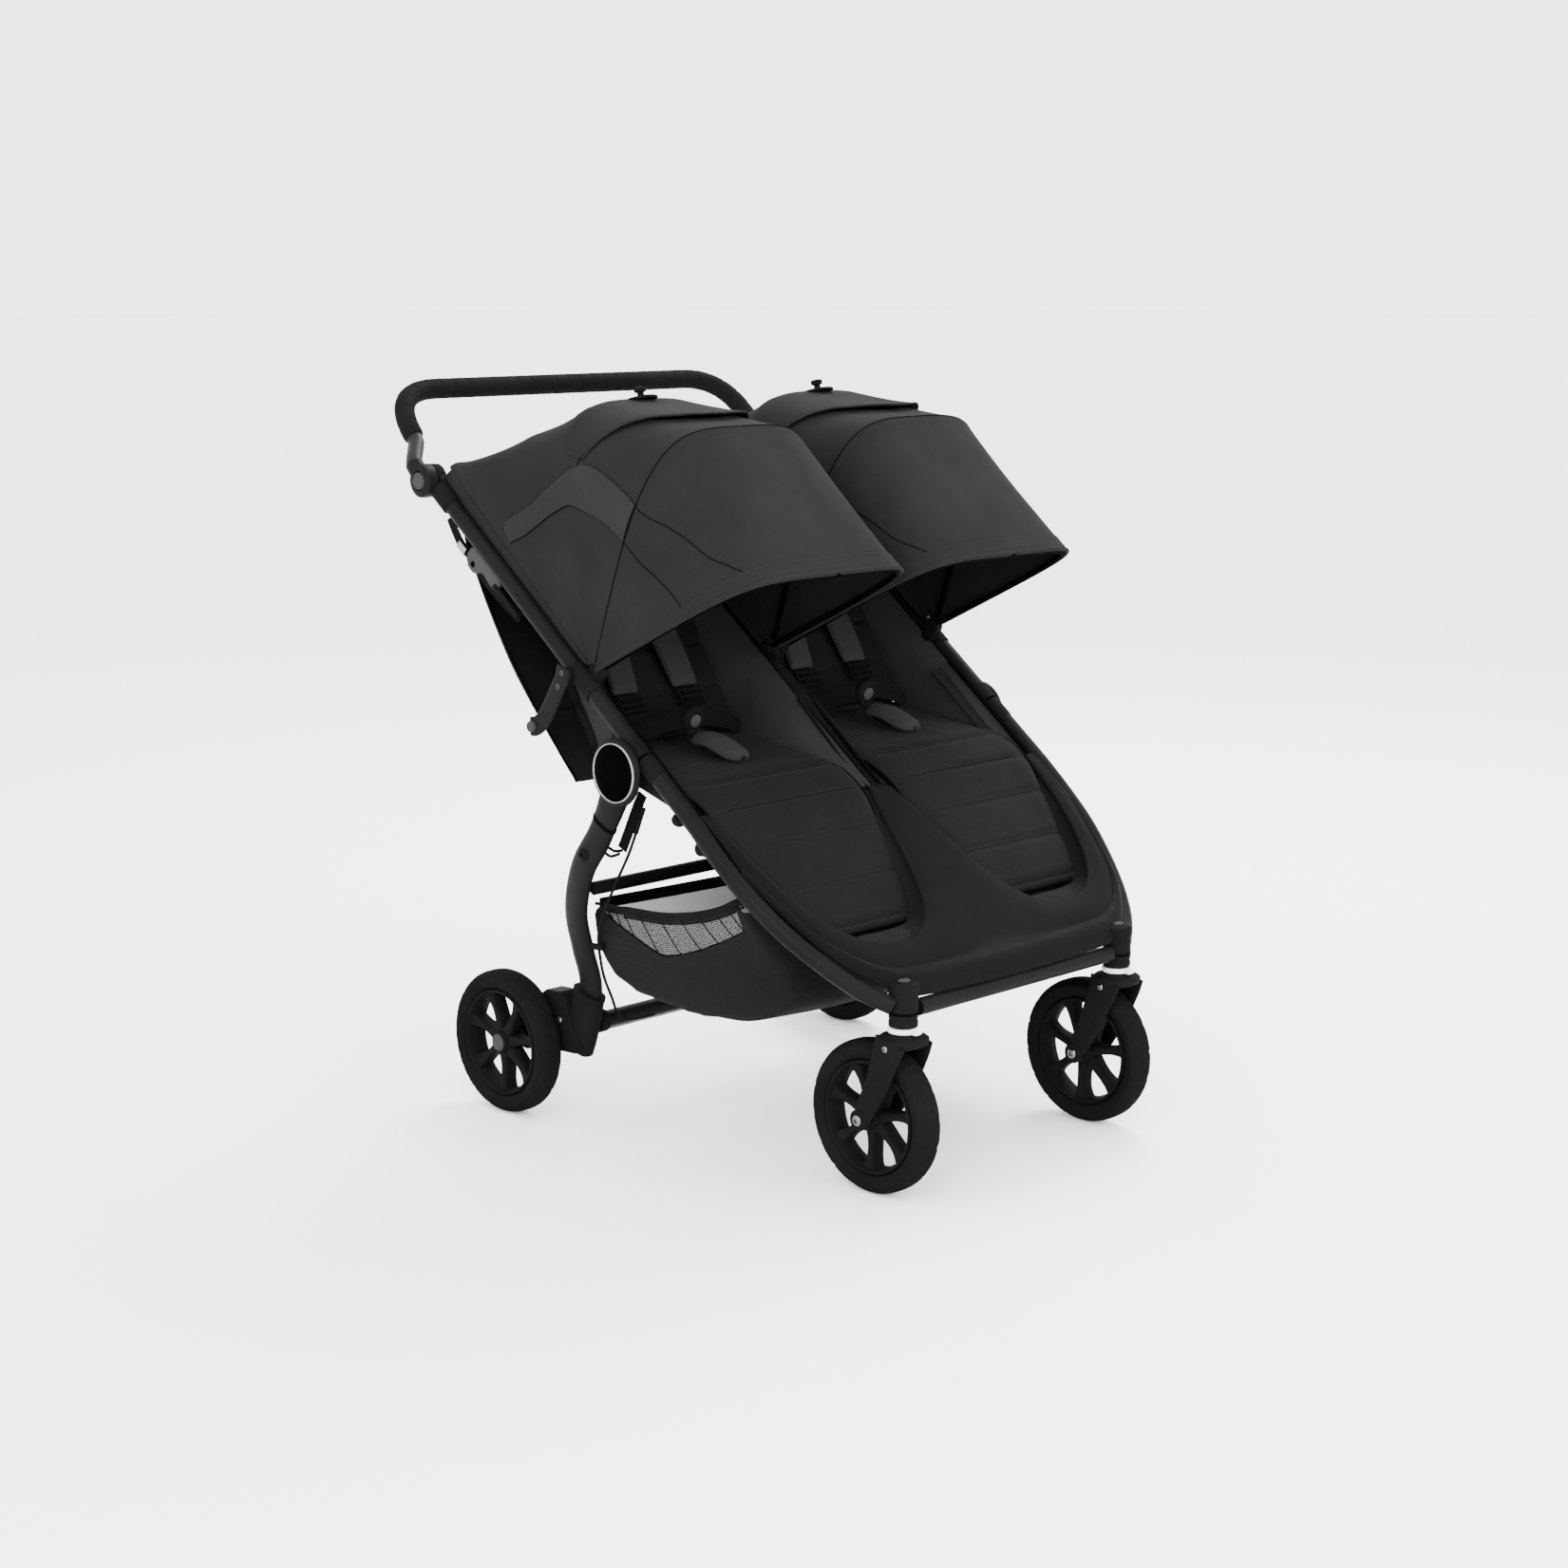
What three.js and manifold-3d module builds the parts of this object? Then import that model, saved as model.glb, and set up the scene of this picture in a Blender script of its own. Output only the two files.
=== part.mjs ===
// Side-by-side double stroller: folding frame, swivelling front casters, tilting
// handlebar, two canopies, two reclining seats. Millimetres, +Z up, +X to the
// right of the rider facing forward (-Y). Heights are from the ground; lengths
// along Y are measured from the front wheels' axle line and the whole model is
// then shifted so that the origin lies under the middle of the footprint.
import * as THREE from 'three';
import { mergeVertices } from 'three/addons/utils/BufferGeometryUtils.js';
import Module from 'manifold-3d';

const wasm = await Module();
wasm.setup();

// ---- driving dimensions -------------------------------------------------
const ORIGIN_Y = 409.5;            // middle of the footprint, from the front axle line
const GAP = 0.4;                 // clearance between touching solids

const WHEEL_R = 108;
const TYRE_W = 44;
const RIM_R = 80;
const SPOKES = 7;
const WHEEL_SEGMENTS = 28;
const FRONT_WHEEL_X = 227.5;
const REAR_WHEEL_X = 358;
const REAR_AXLE_Y = 637;
const CASTER_Y = -50;            // swivel axis, ahead of the front axle

const RAIL_X = 360;              // side rails, centre of tube
const RAIL_R = 12.5;
const RAIL_SLOPE = 37.6;         // degrees above horizontal
const HUB = { y: 357, z: 556 };  // main folding axis
const RAIL_LIFT = 40;            // rail axis above the folding axis
const SEAT_BAR_S = -170;         // tube under the seat fronts: place along the side rails
const SEAT_BAR_R = 10;
const PIVOT = { y: 789, z: 936 }; // handlebar tilting axis
const HANDLE = { y: 912, z: 1063 }; // centre of the handlebar's cross grip
const HANDLE_X = 346;
const HANDLE_R = 15;

const CANOPY_X = 181;            // centre of each seat and canopy
const CANOPY_W = 171;            // half width of a hoop
const CANOPY_PIVOT = { y: 428, z: 688 };
// Canopy sections: angle above +Y at the canopy pivot, reach to the crown, and how
// square the arch is (0 is a box, 1 a half ellipse).
const REAR_EDGE = { angle: 39.6, reach: 421, square: 0.08 };
const REAR_MIDDLE = { angle: 57, reach: 378, square: 0.36 };
const RIDGE = { angle: 75, reach: 376, square: 0.5 };
const TOP = { angle: 92, reach: 362, square: 0.5 };
const MID_HOOP = { angle: 109, reach: 353, square: 0.5 };
const FRONT_SWELL = { angle: 131, reach: 344, square: 0.42 };
const BRIM_HOOP = { angle: 154, reach: 336, square: 0.34 };
const HOOP_R = 4;
const FABRIC = 2.4;              // modelled thickness of a cloth panel

// ---- materials ----------------------------------------------------------
const paint = (color, roughness, metalness) =>
  new THREE.MeshStandardMaterial({ color, roughness, metalness });
const FRAME = paint('#3a3b3d', 0.45, 0.6);
const PLASTIC = paint('#2b2c2e', 0.5, 0);
const GLOSS = paint('#0c0c0d', 0.15, 0);
const RUBBER = paint('#252628', 0.85, 0);
const LEATHERETTE = paint('#1f2022', 0.6, 0);
const CLOTH = paint('#232426', 0.9, 0);
const WHITE = paint('#e4e4e2', 0.5, 0);
const STEEL = paint('#9b9c9e', 0.35, 1);
const GREY = paint('#6f7072', 0.5, 0);

const model = new THREE.Group();
model.position.y = -ORIGIN_Y;

// ---- helpers ------------------------------------------------------------
const rad = THREE.MathUtils.degToRad;
const V = (x, y, z) => new THREE.Vector3(x, y, z);

/** Signed volume of an indexed geometry. */
function volume(geometry) {
  const p = geometry.attributes.position;
  const index = geometry.index.array;
  const a = new THREE.Vector3();
  const b = new THREE.Vector3();
  const c = new THREE.Vector3();
  let sum = 0;
  for (let i = 0; i < index.length; i += 3) {
    a.fromBufferAttribute(p, index[i]);
    b.fromBufferAttribute(p, index[i + 1]);
    c.fromBufferAttribute(p, index[i + 2]);
    sum += a.dot(b.cross(c)) / 6;
  }
  return sum;
}

/** Welds a geometry's vertices and turns its faces outwards. */
function weld(source) {
  const bare = source.clone();
  bare.deleteAttribute('normal');
  bare.deleteAttribute('uv');
  const geometry = mergeVertices(bare, 1e-4);
  if (volume(geometry) < 0) {
    const index = geometry.index.array;
    for (let i = 0; i < index.length; i += 3) {
      [index[i], index[i + 1]] = [index[i + 1], index[i]];
    }
  }
  return geometry;
}

/** Manifold solid of a closed geometry. */
function solid(geometry) {
  const g = weld(geometry);
  return new wasm.Manifold(new wasm.Mesh({
    numProp: 3,
    vertProperties: new Float32Array(g.attributes.position.array),
    triVerts: new Uint32Array(g.index.array),
  }));
}

function toGeometry(manifold) {
  const mesh = manifold.getMesh();
  const geometry = new THREE.BufferGeometry();
  geometry.setAttribute('position', new THREE.BufferAttribute(mesh.vertProperties, 3));
  geometry.setIndex(new THREE.BufferAttribute(mesh.triVerts, 1));
  return geometry;
}

/** One solid from several overlapping geometries. */
function join(...geometries) {
  return toGeometry(geometries.map(solid).reduce((a, b) => a.add(b)));
}

/** The first geometry with the others cut out of it. */
function cut(body, ...tools) {
  return toGeometry(tools.map(solid).reduce((a, b) => a.subtract(b), solid(body)));
}

function part(name, geometry, material) {
  const mesh = new THREE.Mesh(weld(geometry), material);
  mesh.name = name;
  model.add(mesh);
  return mesh;
}

/** Round bar between two points. */
function bar(a, b, radius, sides = 12, radiusEnd = radius) {
  const along = b.clone().sub(a);
  const geometry = new THREE.CylinderGeometry(radiusEnd, radius, along.length(), sides);
  const turn = new THREE.Quaternion().setFromUnitVectors(V(0, 1, 0), along.clone().normalize());
  geometry.applyQuaternion(turn);
  const middle = a.clone().add(b).multiplyScalar(0.5);
  geometry.translate(middle.x, middle.y, middle.z);
  return geometry;
}

/** Bar along X from x0 to x1 at (y, z). */
const barX = (x0, x1, y, z, radius, sides = 16) => bar(V(x0, y, z), V(x1, y, z), radius, sides);

const box = (x0, x1, y0, y1, z0, z1) => {
  const geometry = new THREE.BoxGeometry(Math.abs(x1 - x0), y1 - y0, z1 - z0);
  geometry.translate((x0 + x1) / 2, (y0 + y1) / 2, (z0 + z1) / 2);
  return geometry;
};

/** Plate of a y-z outline between x0 and x1. */
function plateX(outline, x0, x1, holes = []) {
  const shape = new THREE.Shape(outline.map(([y, z]) => new THREE.Vector2(y, z)));
  for (const [y, z, r] of holes) {
    const hole = new THREE.Path();
    hole.absarc(y, z, r, 0, 2 * Math.PI, true);
    shape.holes.push(hole);
  }
  const geometry = new THREE.ExtrudeGeometry(shape, {
    depth: Math.abs(x1 - x0), bevelEnabled: false, curveSegments: 8,
  });
  // shape x -> world y, shape y -> world z, depth -> world x
  geometry.applyMatrix4(new THREE.Matrix4().makeBasis(V(0, 1, 0), V(0, 0, 1), V(1, 0, 0)));
  geometry.translate(Math.min(x0, x1), 0, 0);
  return geometry;
}

/** Outline around two circles (y, z, r), like a link plate. */
function link([y1, z1, r1], [y2, z2, r2], steps = 8) {
  const heading = Math.atan2(z2 - z1, y2 - y1);
  const lean = Math.acos((r1 - r2) / Math.hypot(y2 - y1, z2 - z1));
  const points = [];
  const arc = (y, z, r, from, to) => {
    for (let i = 0; i <= steps; i++) {
      const t = from + (to - from) * i / steps;
      points.push([y + r * Math.cos(t), z + r * Math.sin(t)]);
    }
  };
  arc(y2, z2, r2, heading - lean, heading + lean);
  arc(y1, z1, r1, heading + lean, heading + 2 * Math.PI - lean);
  return points;
}

/** Closed solid through equal rings of points, with flat ends. */
function loft(rings) {
  const n = rings[0].length;
  const positions = rings.flat().flatMap((p) => [p.x, p.y, p.z]);
  const index = [];
  for (let i = 0; i + 1 < rings.length; i++) {
    for (let j = 0; j < n; j++) {
      const a = i * n + j;
      const b = i * n + (j + 1) % n;
      index.push(a, b, b + n, a, b + n, a + n);
    }
  }
  for (const end of [0, rings.length - 1]) {
    const centre = rings[end].reduce((s, p) => s.add(p), V(0, 0, 0)).divideScalar(n);
    const c = positions.length / 3;
    positions.push(centre.x, centre.y, centre.z);
    for (let j = 0; j < n; j++) {
      const a = end * n + j;
      const b = end * n + (j + 1) % n;
      index.push(...(end === 0 ? [c, b, a] : [c, a, b]));
    }
  }
  const geometry = new THREE.BufferGeometry();
  geometry.setAttribute('position', new THREE.Float32BufferAttribute(positions, 3));
  geometry.setIndex(index);
  return geometry;
}

/** Oval tube through points; `across` is the direction of its half width a. */
function sweep(points, a, b, across = V(1, 0, 0), sides = 12) {
  const heading = (i) => points[i + 1].clone().sub(points[i]).normalize();
  const last = points.length - 1;
  return loft(points.map((centre, i) => {
    const tangent = heading(Math.min(i, last - 1)).add(heading(Math.max(i - 1, 0))).normalize();
    const v = across.clone().cross(tangent).normalize();
    const u = tangent.clone().cross(v).normalize();
    return Array.from({ length: sides }, (_, k) => {
      const w = 2 * Math.PI * (k + 0.5) / sides;
      return centre.clone().addScaledVector(u, a * Math.cos(w)).addScaledVector(v, b * Math.sin(w));
    });
  }));
}

/** Thick sheet on a grid of points; `inward(i, j)` gives the thickness vector. */
function shell(grid, inward) {
  const rows = grid.length;
  const cols = grid[0].length;
  const outer = grid.flat();
  const inner = grid.flatMap((row, i) => row.map((p, j) => p.clone().add(inward(i, j))));
  const positions = [...outer, ...inner].flatMap((p) => [p.x, p.y, p.z]);
  const index = [];
  const total = rows * cols;
  const quad = (a, b, c, d) => index.push(a, b, c, a, c, d);
  for (let i = 0; i + 1 < rows; i++) {
    for (let j = 0; j + 1 < cols; j++) {
      const a = i * cols + j;
      quad(a, a + 1, a + cols + 1, a + cols);
      quad(total + a, total + a + cols, total + a + cols + 1, total + a + 1);
    }
  }
  const edge = [];
  for (let j = 0; j + 1 < cols; j++) edge.push([j, j + 1]);
  for (let i = 0; i + 1 < rows; i++) edge.push([(i + 1) * cols - 1, (i + 2) * cols - 1]);
  for (let j = cols - 1; j > 0; j--) edge.push([(rows - 1) * cols + j, (rows - 1) * cols + j - 1]);
  for (let i = rows - 1; i > 0; i--) edge.push([i * cols, (i - 1) * cols]);
  for (const [a, b] of edge) quad(b, a, total + a, total + b);
  const geometry = new THREE.BufferGeometry();
  geometry.setAttribute('position', new THREE.Float32BufferAttribute(positions, 3));
  geometry.setIndex(index);
  return geometry;
}

/** Smooth curve through points. */
const spline = (points) => new THREE.CatmullRomCurve3(points, false, 'centripetal');

/** Slab with rounded corners: half sizes w, d in its own plane, placed by a matrix. */
function pad(w, d, thickness, corner, matrix) {
  const shape = new THREE.Shape();
  shape.moveTo(-w + corner, -d);
  shape.lineTo(w - corner, -d);
  shape.absarc(w - corner, -d + corner, corner, -Math.PI / 2, 0);
  shape.lineTo(w, d - corner);
  shape.absarc(w - corner, d - corner, corner, 0, Math.PI / 2);
  shape.lineTo(-w + corner, d);
  shape.absarc(-w + corner, d - corner, corner, Math.PI / 2, Math.PI);
  shape.lineTo(-w, -d + corner);
  shape.absarc(-w + corner, -d + corner, corner, Math.PI, 1.5 * Math.PI);
  const geometry = new THREE.ExtrudeGeometry(shape, {
    depth: thickness, bevelEnabled: false, curveSegments: 4,
  });
  return geometry.applyMatrix4(matrix);
}

// Point on the rail line: s along the slope from the foot above the hub, lift across it.
const UP = { y: Math.cos(rad(RAIL_SLOPE)), z: Math.sin(rad(RAIL_SLOPE)) };
const railPoint = (x, s, lift = RAIL_LIFT) =>
  V(x, HUB.y + s * UP.y - lift * UP.z, HUB.z + s * UP.z + lift * UP.y);
const SIDES = [['left', -1], ['right', 1]];

// ---- wheels -------------------------------------------------------------
function tyre() {
  const h = TYRE_W / 2;
  const profile = [
    [RIM_R + GAP, -h * 0.7], [RIM_R + 15, -h], [WHEEL_R - 5, -h * 0.7], [WHEEL_R, -h * 0.25],
    [WHEEL_R, h * 0.25], [WHEEL_R - 5, h * 0.7], [RIM_R + 15, h], [RIM_R + GAP, h * 0.7],
    [RIM_R + GAP, -h * 0.7],
  ];
  return new THREE.LatheGeometry(profile.map(([r, x]) => new THREE.Vector2(r, x)), WHEEL_SEGMENTS);
}

function rim(boreR) {
  const h = TYRE_W / 2;
  const profile = [
    [RIM_R - 5, -h * 0.75], [RIM_R, -h * 0.75], [RIM_R, h * 0.75], [RIM_R - 5, h * 0.75],
    [RIM_R - 8, 0], [RIM_R - 5, -h * 0.75],
  ];
  const barrel = new THREE.LatheGeometry(
    profile.map(([r, x]) => new THREE.Vector2(r, x)), WHEEL_SEGMENTS);
  const pieces = [barrel, new THREE.CylinderGeometry(17, 17, 38, 12)];
  for (let i = 0; i < SPOKES; i++) {
    const blade = new THREE.BoxGeometry(RIM_R - 18, 9, 17);
    blade.translate((RIM_R - 18) / 2 + 12, 0, 0);
    blade.rotateY(2 * Math.PI * i / SPOKES);
    pieces.push(blade);
  }
  return cut(join(...pieces), new THREE.CylinderGeometry(boreR, boreR, 60, 8));
}

function wheel(name, x, y) {
  const place = (geometry) => {
    geometry.rotateZ(Math.PI / 2);
    geometry.translate(x, y, WHEEL_R);
    return geometry;
  };
  part(`tyre_${name}`, place(tyre()), RUBBER);
  part(`rim_${name}`, place(rim(6.2)), PLASTIC);
}

// ---- casters ------------------------------------------------------------
function caster(name, side) {
  const x = side * FRONT_WHEEL_X;
  const cheek = link([CASTER_Y + 6, 216, 20], [0, WHEEL_R, 19]);
  const cheeks = [-1, 1].map((s) => plateX(cheek, x + s * 26, x + s * 33, [[0, WHEEL_R, 6.4]]));
  const crown = box(x - 33, x + 33, CASTER_Y - 24, CASTER_Y + 34, 218.5, 233);
  const stem = bar(V(x, CASTER_Y, 225), V(x, CASTER_Y, 236), 17, 20);
  const shaft = bar(V(x, CASTER_Y, 230), V(x, CASTER_Y, 262), 6, 12);
  part(`fork_${name}`, join(...cheeks, crown, stem, shaft), PLASTIC);
  const collar = cut(
    bar(V(x, CASTER_Y, 236 + GAP), V(x, CASTER_Y, 244), 21, 24),
    bar(V(x, CASTER_Y, 230), V(x, CASTER_Y, 250), 7, 12),
  );
  const tab = box(x - 5, x + 5, CASTER_Y - 27, CASTER_Y - 19, 236 + GAP, 244);
  part(`swivel_lock_${name}`, join(collar, tab), WHITE);
  part(`front_axle_${name}`, join(
    barX(x - 35, x + 35, 0, WHEEL_R, 5.6, 12),
    barX(x - 37, x - 33.4, 0, WHEEL_R, 9, 12),
    barX(x + 33.4, x + 37, 0, WHEEL_R, 9, 12),
  ), STEEL);
  wheel(`front_${name}`, x, 0);
}

// ---- front frame --------------------------------------------------------
const RAIL_SPLIT = -18;          // where front and upper rails meet, along the slope

function casterHousing(name, side) {
  const x = side * FRONT_WHEEL_X;
  const body = bar(V(x, CASTER_Y, 245), V(x, CASTER_Y, 302), 20, 24);
  const cap = bar(V(x, CASTER_Y, 296), V(x, CASTER_Y, 307), 22, 24);
  const bore = bar(V(x, CASTER_Y, 240), V(x, CASTER_Y, 270), 7, 12);
  part(`caster_housing_${name}`, cut(join(body, cap), bore), PLASTIC);
}

function frontRail(name, side) {
  const x = side * RAIL_X;
  const bend = spline([
    railPoint(x, -150), V(side * 360, 168, 457), V(side * 354, 116, 413), V(side * 337, 65, 369),
    V(side * 311, 17, 330), V(side * 281, -20, 298), V(side * 250, -44, 277),
  ]);
  const tube = sweep([railPoint(x, RAIL_SPLIT - 2), ...bend.getPoints(10)], RAIL_R, RAIL_R);
  const plateIn = side * (RAIL_X - 10);
  const plateOut = side * (RAIL_X - 4);
  const foot = railPoint(0, -85, 28);
  const lug = plateX(link([HUB.y, HUB.z, 15], [foot.y, foot.z, 10]), plateIn, plateOut);
  const bore = barX(side * (RAIL_X - 14), side * (RAIL_X), HUB.y, HUB.z, 6.5, 12);
  const hub = bar(V(side * 240, CASTER_Y, 274), V(side * 256, CASTER_Y + 10, 281), 13.5, 12);
  const body = cut(join(tube, lug, hub), bore);
  part(`front_rail_${name}`, cut(body, bar(V(side * FRONT_WHEEL_X, CASTER_Y, 230),
    V(side * FRONT_WHEEL_X, CASTER_Y, 320), 22.6, 24)), FRAME);
}

function footwellPanel() {
  // Outline in the plane of the front rails: u across, v up the slope from the front edge.
  const bottom = railPoint(0, -470);
  const outline = new THREE.Shape();
  outline.moveTo(-196, 16);
  outline.quadraticCurveTo(0, 4, 196, 16);
  outline.quadraticCurveTo(252, 26, 294, 76);
  outline.quadraticCurveTo(330, 130, 340, 200);
  outline.lineTo(345, 330);
  outline.lineTo(333, 330);
  for (const side of [1, -1]) {
    const across = side * CANOPY_X;
    if (side === 1) {
      outline.bezierCurveTo(322, 200, across + 104, 58, across, 58);
      outline.bezierCurveTo(across - 116, 58, 64, 180, 20, 320);
    } else {
      outline.lineTo(-20, 320);
      outline.bezierCurveTo(-64, 180, across + 116, 58, across, 58);
      outline.bezierCurveTo(across - 104, 58, -322, 200, -333, 330);
    }
  }
  outline.lineTo(-345, 330);
  outline.lineTo(-340, 200);
  outline.quadraticCurveTo(-330, 130, -294, 76);
  outline.quadraticCurveTo(-252, 26, -196, 16);
  const geometry = new THREE.ExtrudeGeometry(outline, { depth: 5, bevelEnabled: false, curveSegments: 8 });
  const slope = new THREE.Matrix4().makeBasis(V(1, 0, 0), V(0, UP.y, UP.z), V(0, -UP.z, UP.y));
  geometry.applyMatrix4(slope);
  geometry.translate(bottom.x, bottom.y, bottom.z);
  part('footwell_panel', geometry, LEATHERETTE);
}

/** Quilted seat pad: seat from the backrest to the knee, then the hanging leg rest. */
function seatPad(name, side) {
  const x = side * CANOPY_X;
  const profile = [[446, 556], [330, 541], [214, 506], [140, 424], [62, 346]];
  const half = [154, 154, 146, 128, 98];
  const curve = spline(profile.map(([y, z]) => V(x, y, z)));
  const widths = new THREE.SplineCurve(half.map((w, i) => new THREE.Vector2(i / (half.length - 1), w)));
  const rings = [];
  for (let i = 0; i <= 10; i++) {
    const t = i / 10;
    const c = curve.getPointAt(t);
    const tangent = curve.getTangentAt(t);
    const n = V(0, tangent.z, -tangent.y);
    const w = widths.getPoint(t).y;
    rings.push([[-1, 0], [-0.94, 9], [0.94, 9], [1, 0], [0.94, -9], [-0.94, -9]].map(([u, v]) =>
      c.clone().add(V(u * w, 0, 0)).addScaledVector(n, v)));
  }
  part(`seat_pad_${name}`, loft(rings), CLOTH);
}

/** Tube across the undersides of the two front rails, with a cheek plate at each end. */
function seatCrossTube() {
  const p = railPoint(0, SEAT_BAR_S, RAIL_LIFT - RAIL_R - SEAT_BAR_R - GAP);
  const cheek = railPoint(0, SEAT_BAR_S, RAIL_LIFT - 10);
  const inside = RAIL_X - RAIL_R - GAP;
  const tube = barX(-(RAIL_X - 4), RAIL_X - 4, p.y, p.z, SEAT_BAR_R, 12);
  const ends = SIDES.map(([, side]) => plateX(
    link([p.y, p.z, SEAT_BAR_R + 3], [cheek.y, cheek.z, 8]), side * (inside - 4), side * inside,
  ));
  part('seat_cross_tube', join(tube, ...ends), FRAME);
}

/** Storage basket: an open tray hung between the front rails and the rear legs. */
function basket() {
  const rim = [[459, 334], [456, 332], [392, 338], [315, 345], [244, 358], [162, 390], [154, 394]];
  const floor = [[458, 326], [448, 236], [392, 208], [315, 199], [235, 201], [120, 262], [142, 384]];
  const rimHalf = [322, 322, 330, 336, 338, 336, 334];
  const floorHalf = [318, 298, 284, 268, 258, 250, 322];
  const last = rim.length - 1;
  const grid = rim.map(([y, z], i) => {
    const [yf, zf] = floor[i];
    const row = [];
    for (let j = 0; j <= 12; j++) {
      const side = j < 6 ? -1 : 1;
      const t = j < 6 ? j : 12 - j;
      const down = Math.min(t / 3, 1);
      const inward = Math.max((t - 3) / 3, 0);
      const half = (rimHalf[i] + (floorHalf[i] - rimHalf[i]) * down) * (1 - inward);
      row.push(V(side * half, y + (yf - y) * down, z + (zf - z) * down - 6 * inward));
    }
    return row;
  });
  part('basket', shell(grid, (i, j) => {
    const down = Math.min((j < 6 ? j : 12 - j) / 3, 1);
    return V(
      j < 6 ? FABRIC : j > 6 ? -FABRIC : 0,
      i < 2 ? -FABRIC : i >= last - 1 ? FABRIC : 0,
      down > 0.6 ? FABRIC : 0,
    );
  }), CLOTH);
}

// ---- rear legs ----------------------------------------------------------
const LEG_OUT = RAIL_X + RAIL_R + 2;   // inner face of the hub plates, outside the rails
const HUB_PLATE = 6;
const LEG_W = 11;                // half width and half depth of a leg's oval tube
const LEG_D = 22;

/** Centre line of a rear leg, from the hub plate down into its shoe. */
const legPath = (side) => spline([
  V(side * 376, HUB.y + 27, HUB.z - 62), V(side * 372, HUB.y + 50, HUB.z - 101),
  V(side * 367, 447, 402), V(side * 354, 478, 334), V(side * 334, 488, 272),
  V(side * 314, 495, 210), V(side * 311, 518, 140),
]).getPoints(10);

function rearLeg(name, side) {
  const plate = plateX(link([HUB.y, HUB.z, 44], [HUB.y + 40, HUB.z - 82, 21]),
    side * LEG_OUT, side * (LEG_OUT + HUB_PLATE));
  const pin = barX(side * (RAIL_X - 12), side * (LEG_OUT + 2), HUB.y, HUB.z, 6, 12);
  const tube = sweep(legPath(side), LEG_W, LEG_D);
  const shaved = cut(tube, box(side * 330, side * LEG_OUT, HUB.y - 60, HUB.y + 80, HUB.z - 78, HUB.z + 40));
  part(`rear_leg_${name}`, join(plate, pin, shaved), FRAME);
}

function hubCover(name, side) {
  const inner = LEG_OUT + HUB_PLATE + GAP;
  const dish = bar(V(side * inner, HUB.y, HUB.z), V(side * (inner + 5), HUB.y, HUB.z), 43, 28, 40);
  part(`hub_cover_${name}`, dish, GLOSS);
}

/** Shoe at the foot of a leg, carrying the rear wheel's stub axle. */
function wheelBracket(name, side) {
  const outline = link([548, 152, 38], [REAR_AXLE_Y, WHEEL_R, 20]);
  const shoe = plateX(outline, side * 296, side * 332);
  const stub = barX(side * 330, side * (REAR_WHEEL_X + 17), REAR_AXLE_Y, WHEEL_R, 5.6, 12);
  const socket = bar(V(side * 311, 528, 112), V(side * 314, 498, 200), 27, 16);
  const body = join(shoe, stub, socket);
  part(`wheel_bracket_${name}`, cut(body, sweep(legPath(side), LEG_W + GAP, LEG_D + GAP)), PLASTIC);
}

function rearCrossMembers() {
  part('rear_crossbar', barX(-345, 345, 450, 370, 10, 12), FRAME);
  part('rear_axle_tube', barX(-282, 282, 508, 150, 13, 16), FRAME);
}

function brakeCable() {
  const route = spline([
    V(-337, 350, 497), V(-342, 373, 436), V(-343, 404, 383), V(-343, 430, 336), V(-340, 446, 298),
    V(-320, 461, 240), V(-296, 470, 196), V(-276, 478, 164), V(-252, 478, 152), V(-215, 467, 154),
  ]);
  const section = new THREE.Shape();
  section.absarc(0, 0, 2.2, 0, 2 * Math.PI);
  part('brake_cable', new THREE.ExtrudeGeometry(section, {
    steps: 32, extrudePath: route, curveSegments: 4, bevelEnabled: false,
  }), RUBBER);
}

// ---- upper frame --------------------------------------------------------
const RAIL_TOP = 542;            // upper end of the side rails, along the slope

function upperRail(name, side) {
  const x = side * RAIL_X;
  const tube = bar(railPoint(x, RAIL_SPLIT + 1), railPoint(x, RAIL_TOP), RAIL_R, 16);
  const a = railPoint(0, 34);
  const lug = plateX(link([HUB.y, HUB.z, 15], [a.y, a.z, 12]), side * (RAIL_X + 2), side * (RAIL_X + 8));
  const bore = barX(side * RAIL_X, side * (RAIL_X + 14), HUB.y, HUB.z, 6.5, 12);
  const mount = plateX(link([CANOPY_PIVOT.y, CANOPY_PIVOT.z, 7], [CANOPY_PIVOT.y + 12, CANOPY_PIVOT.z - 18, 7]),
    side * (RAIL_X - 6.5), side * (RAIL_X - 3));
  const c = railPoint(0, 366, RAIL_LIFT - 19);
  const d = railPoint(0, 426, RAIL_LIFT - 23);
  const latch = plateX(link([c.y, c.z, 10], [d.y, d.z, 14]), side * (RAIL_X + 2), side * (RAIL_X + 6));
  part(`upper_rail_${name}`, cut(join(tube, lug, mount, latch), bore), FRAME);
}

function pivotHousing(name, side) {
  const end = railPoint(0, RAIL_TOP - 10);
  const base = link([PIVOT.y, PIVOT.z, 23], [end.y, end.z, 15]);
  const body = plateX(base, side * (RAIL_X - 13), side * (RAIL_X + 3));
  const socket = bar(railPoint(side * RAIL_X, RAIL_TOP - 26), railPoint(side * RAIL_X, RAIL_TOP + 2), 15, 16);
  const rail = bar(railPoint(side * RAIL_X, 300), railPoint(side * RAIL_X, RAIL_TOP + GAP), RAIL_R + GAP, 16);
  part(`pivot_housing_${name}`, cut(join(body, socket), rail), PLASTIC);
}

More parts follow.
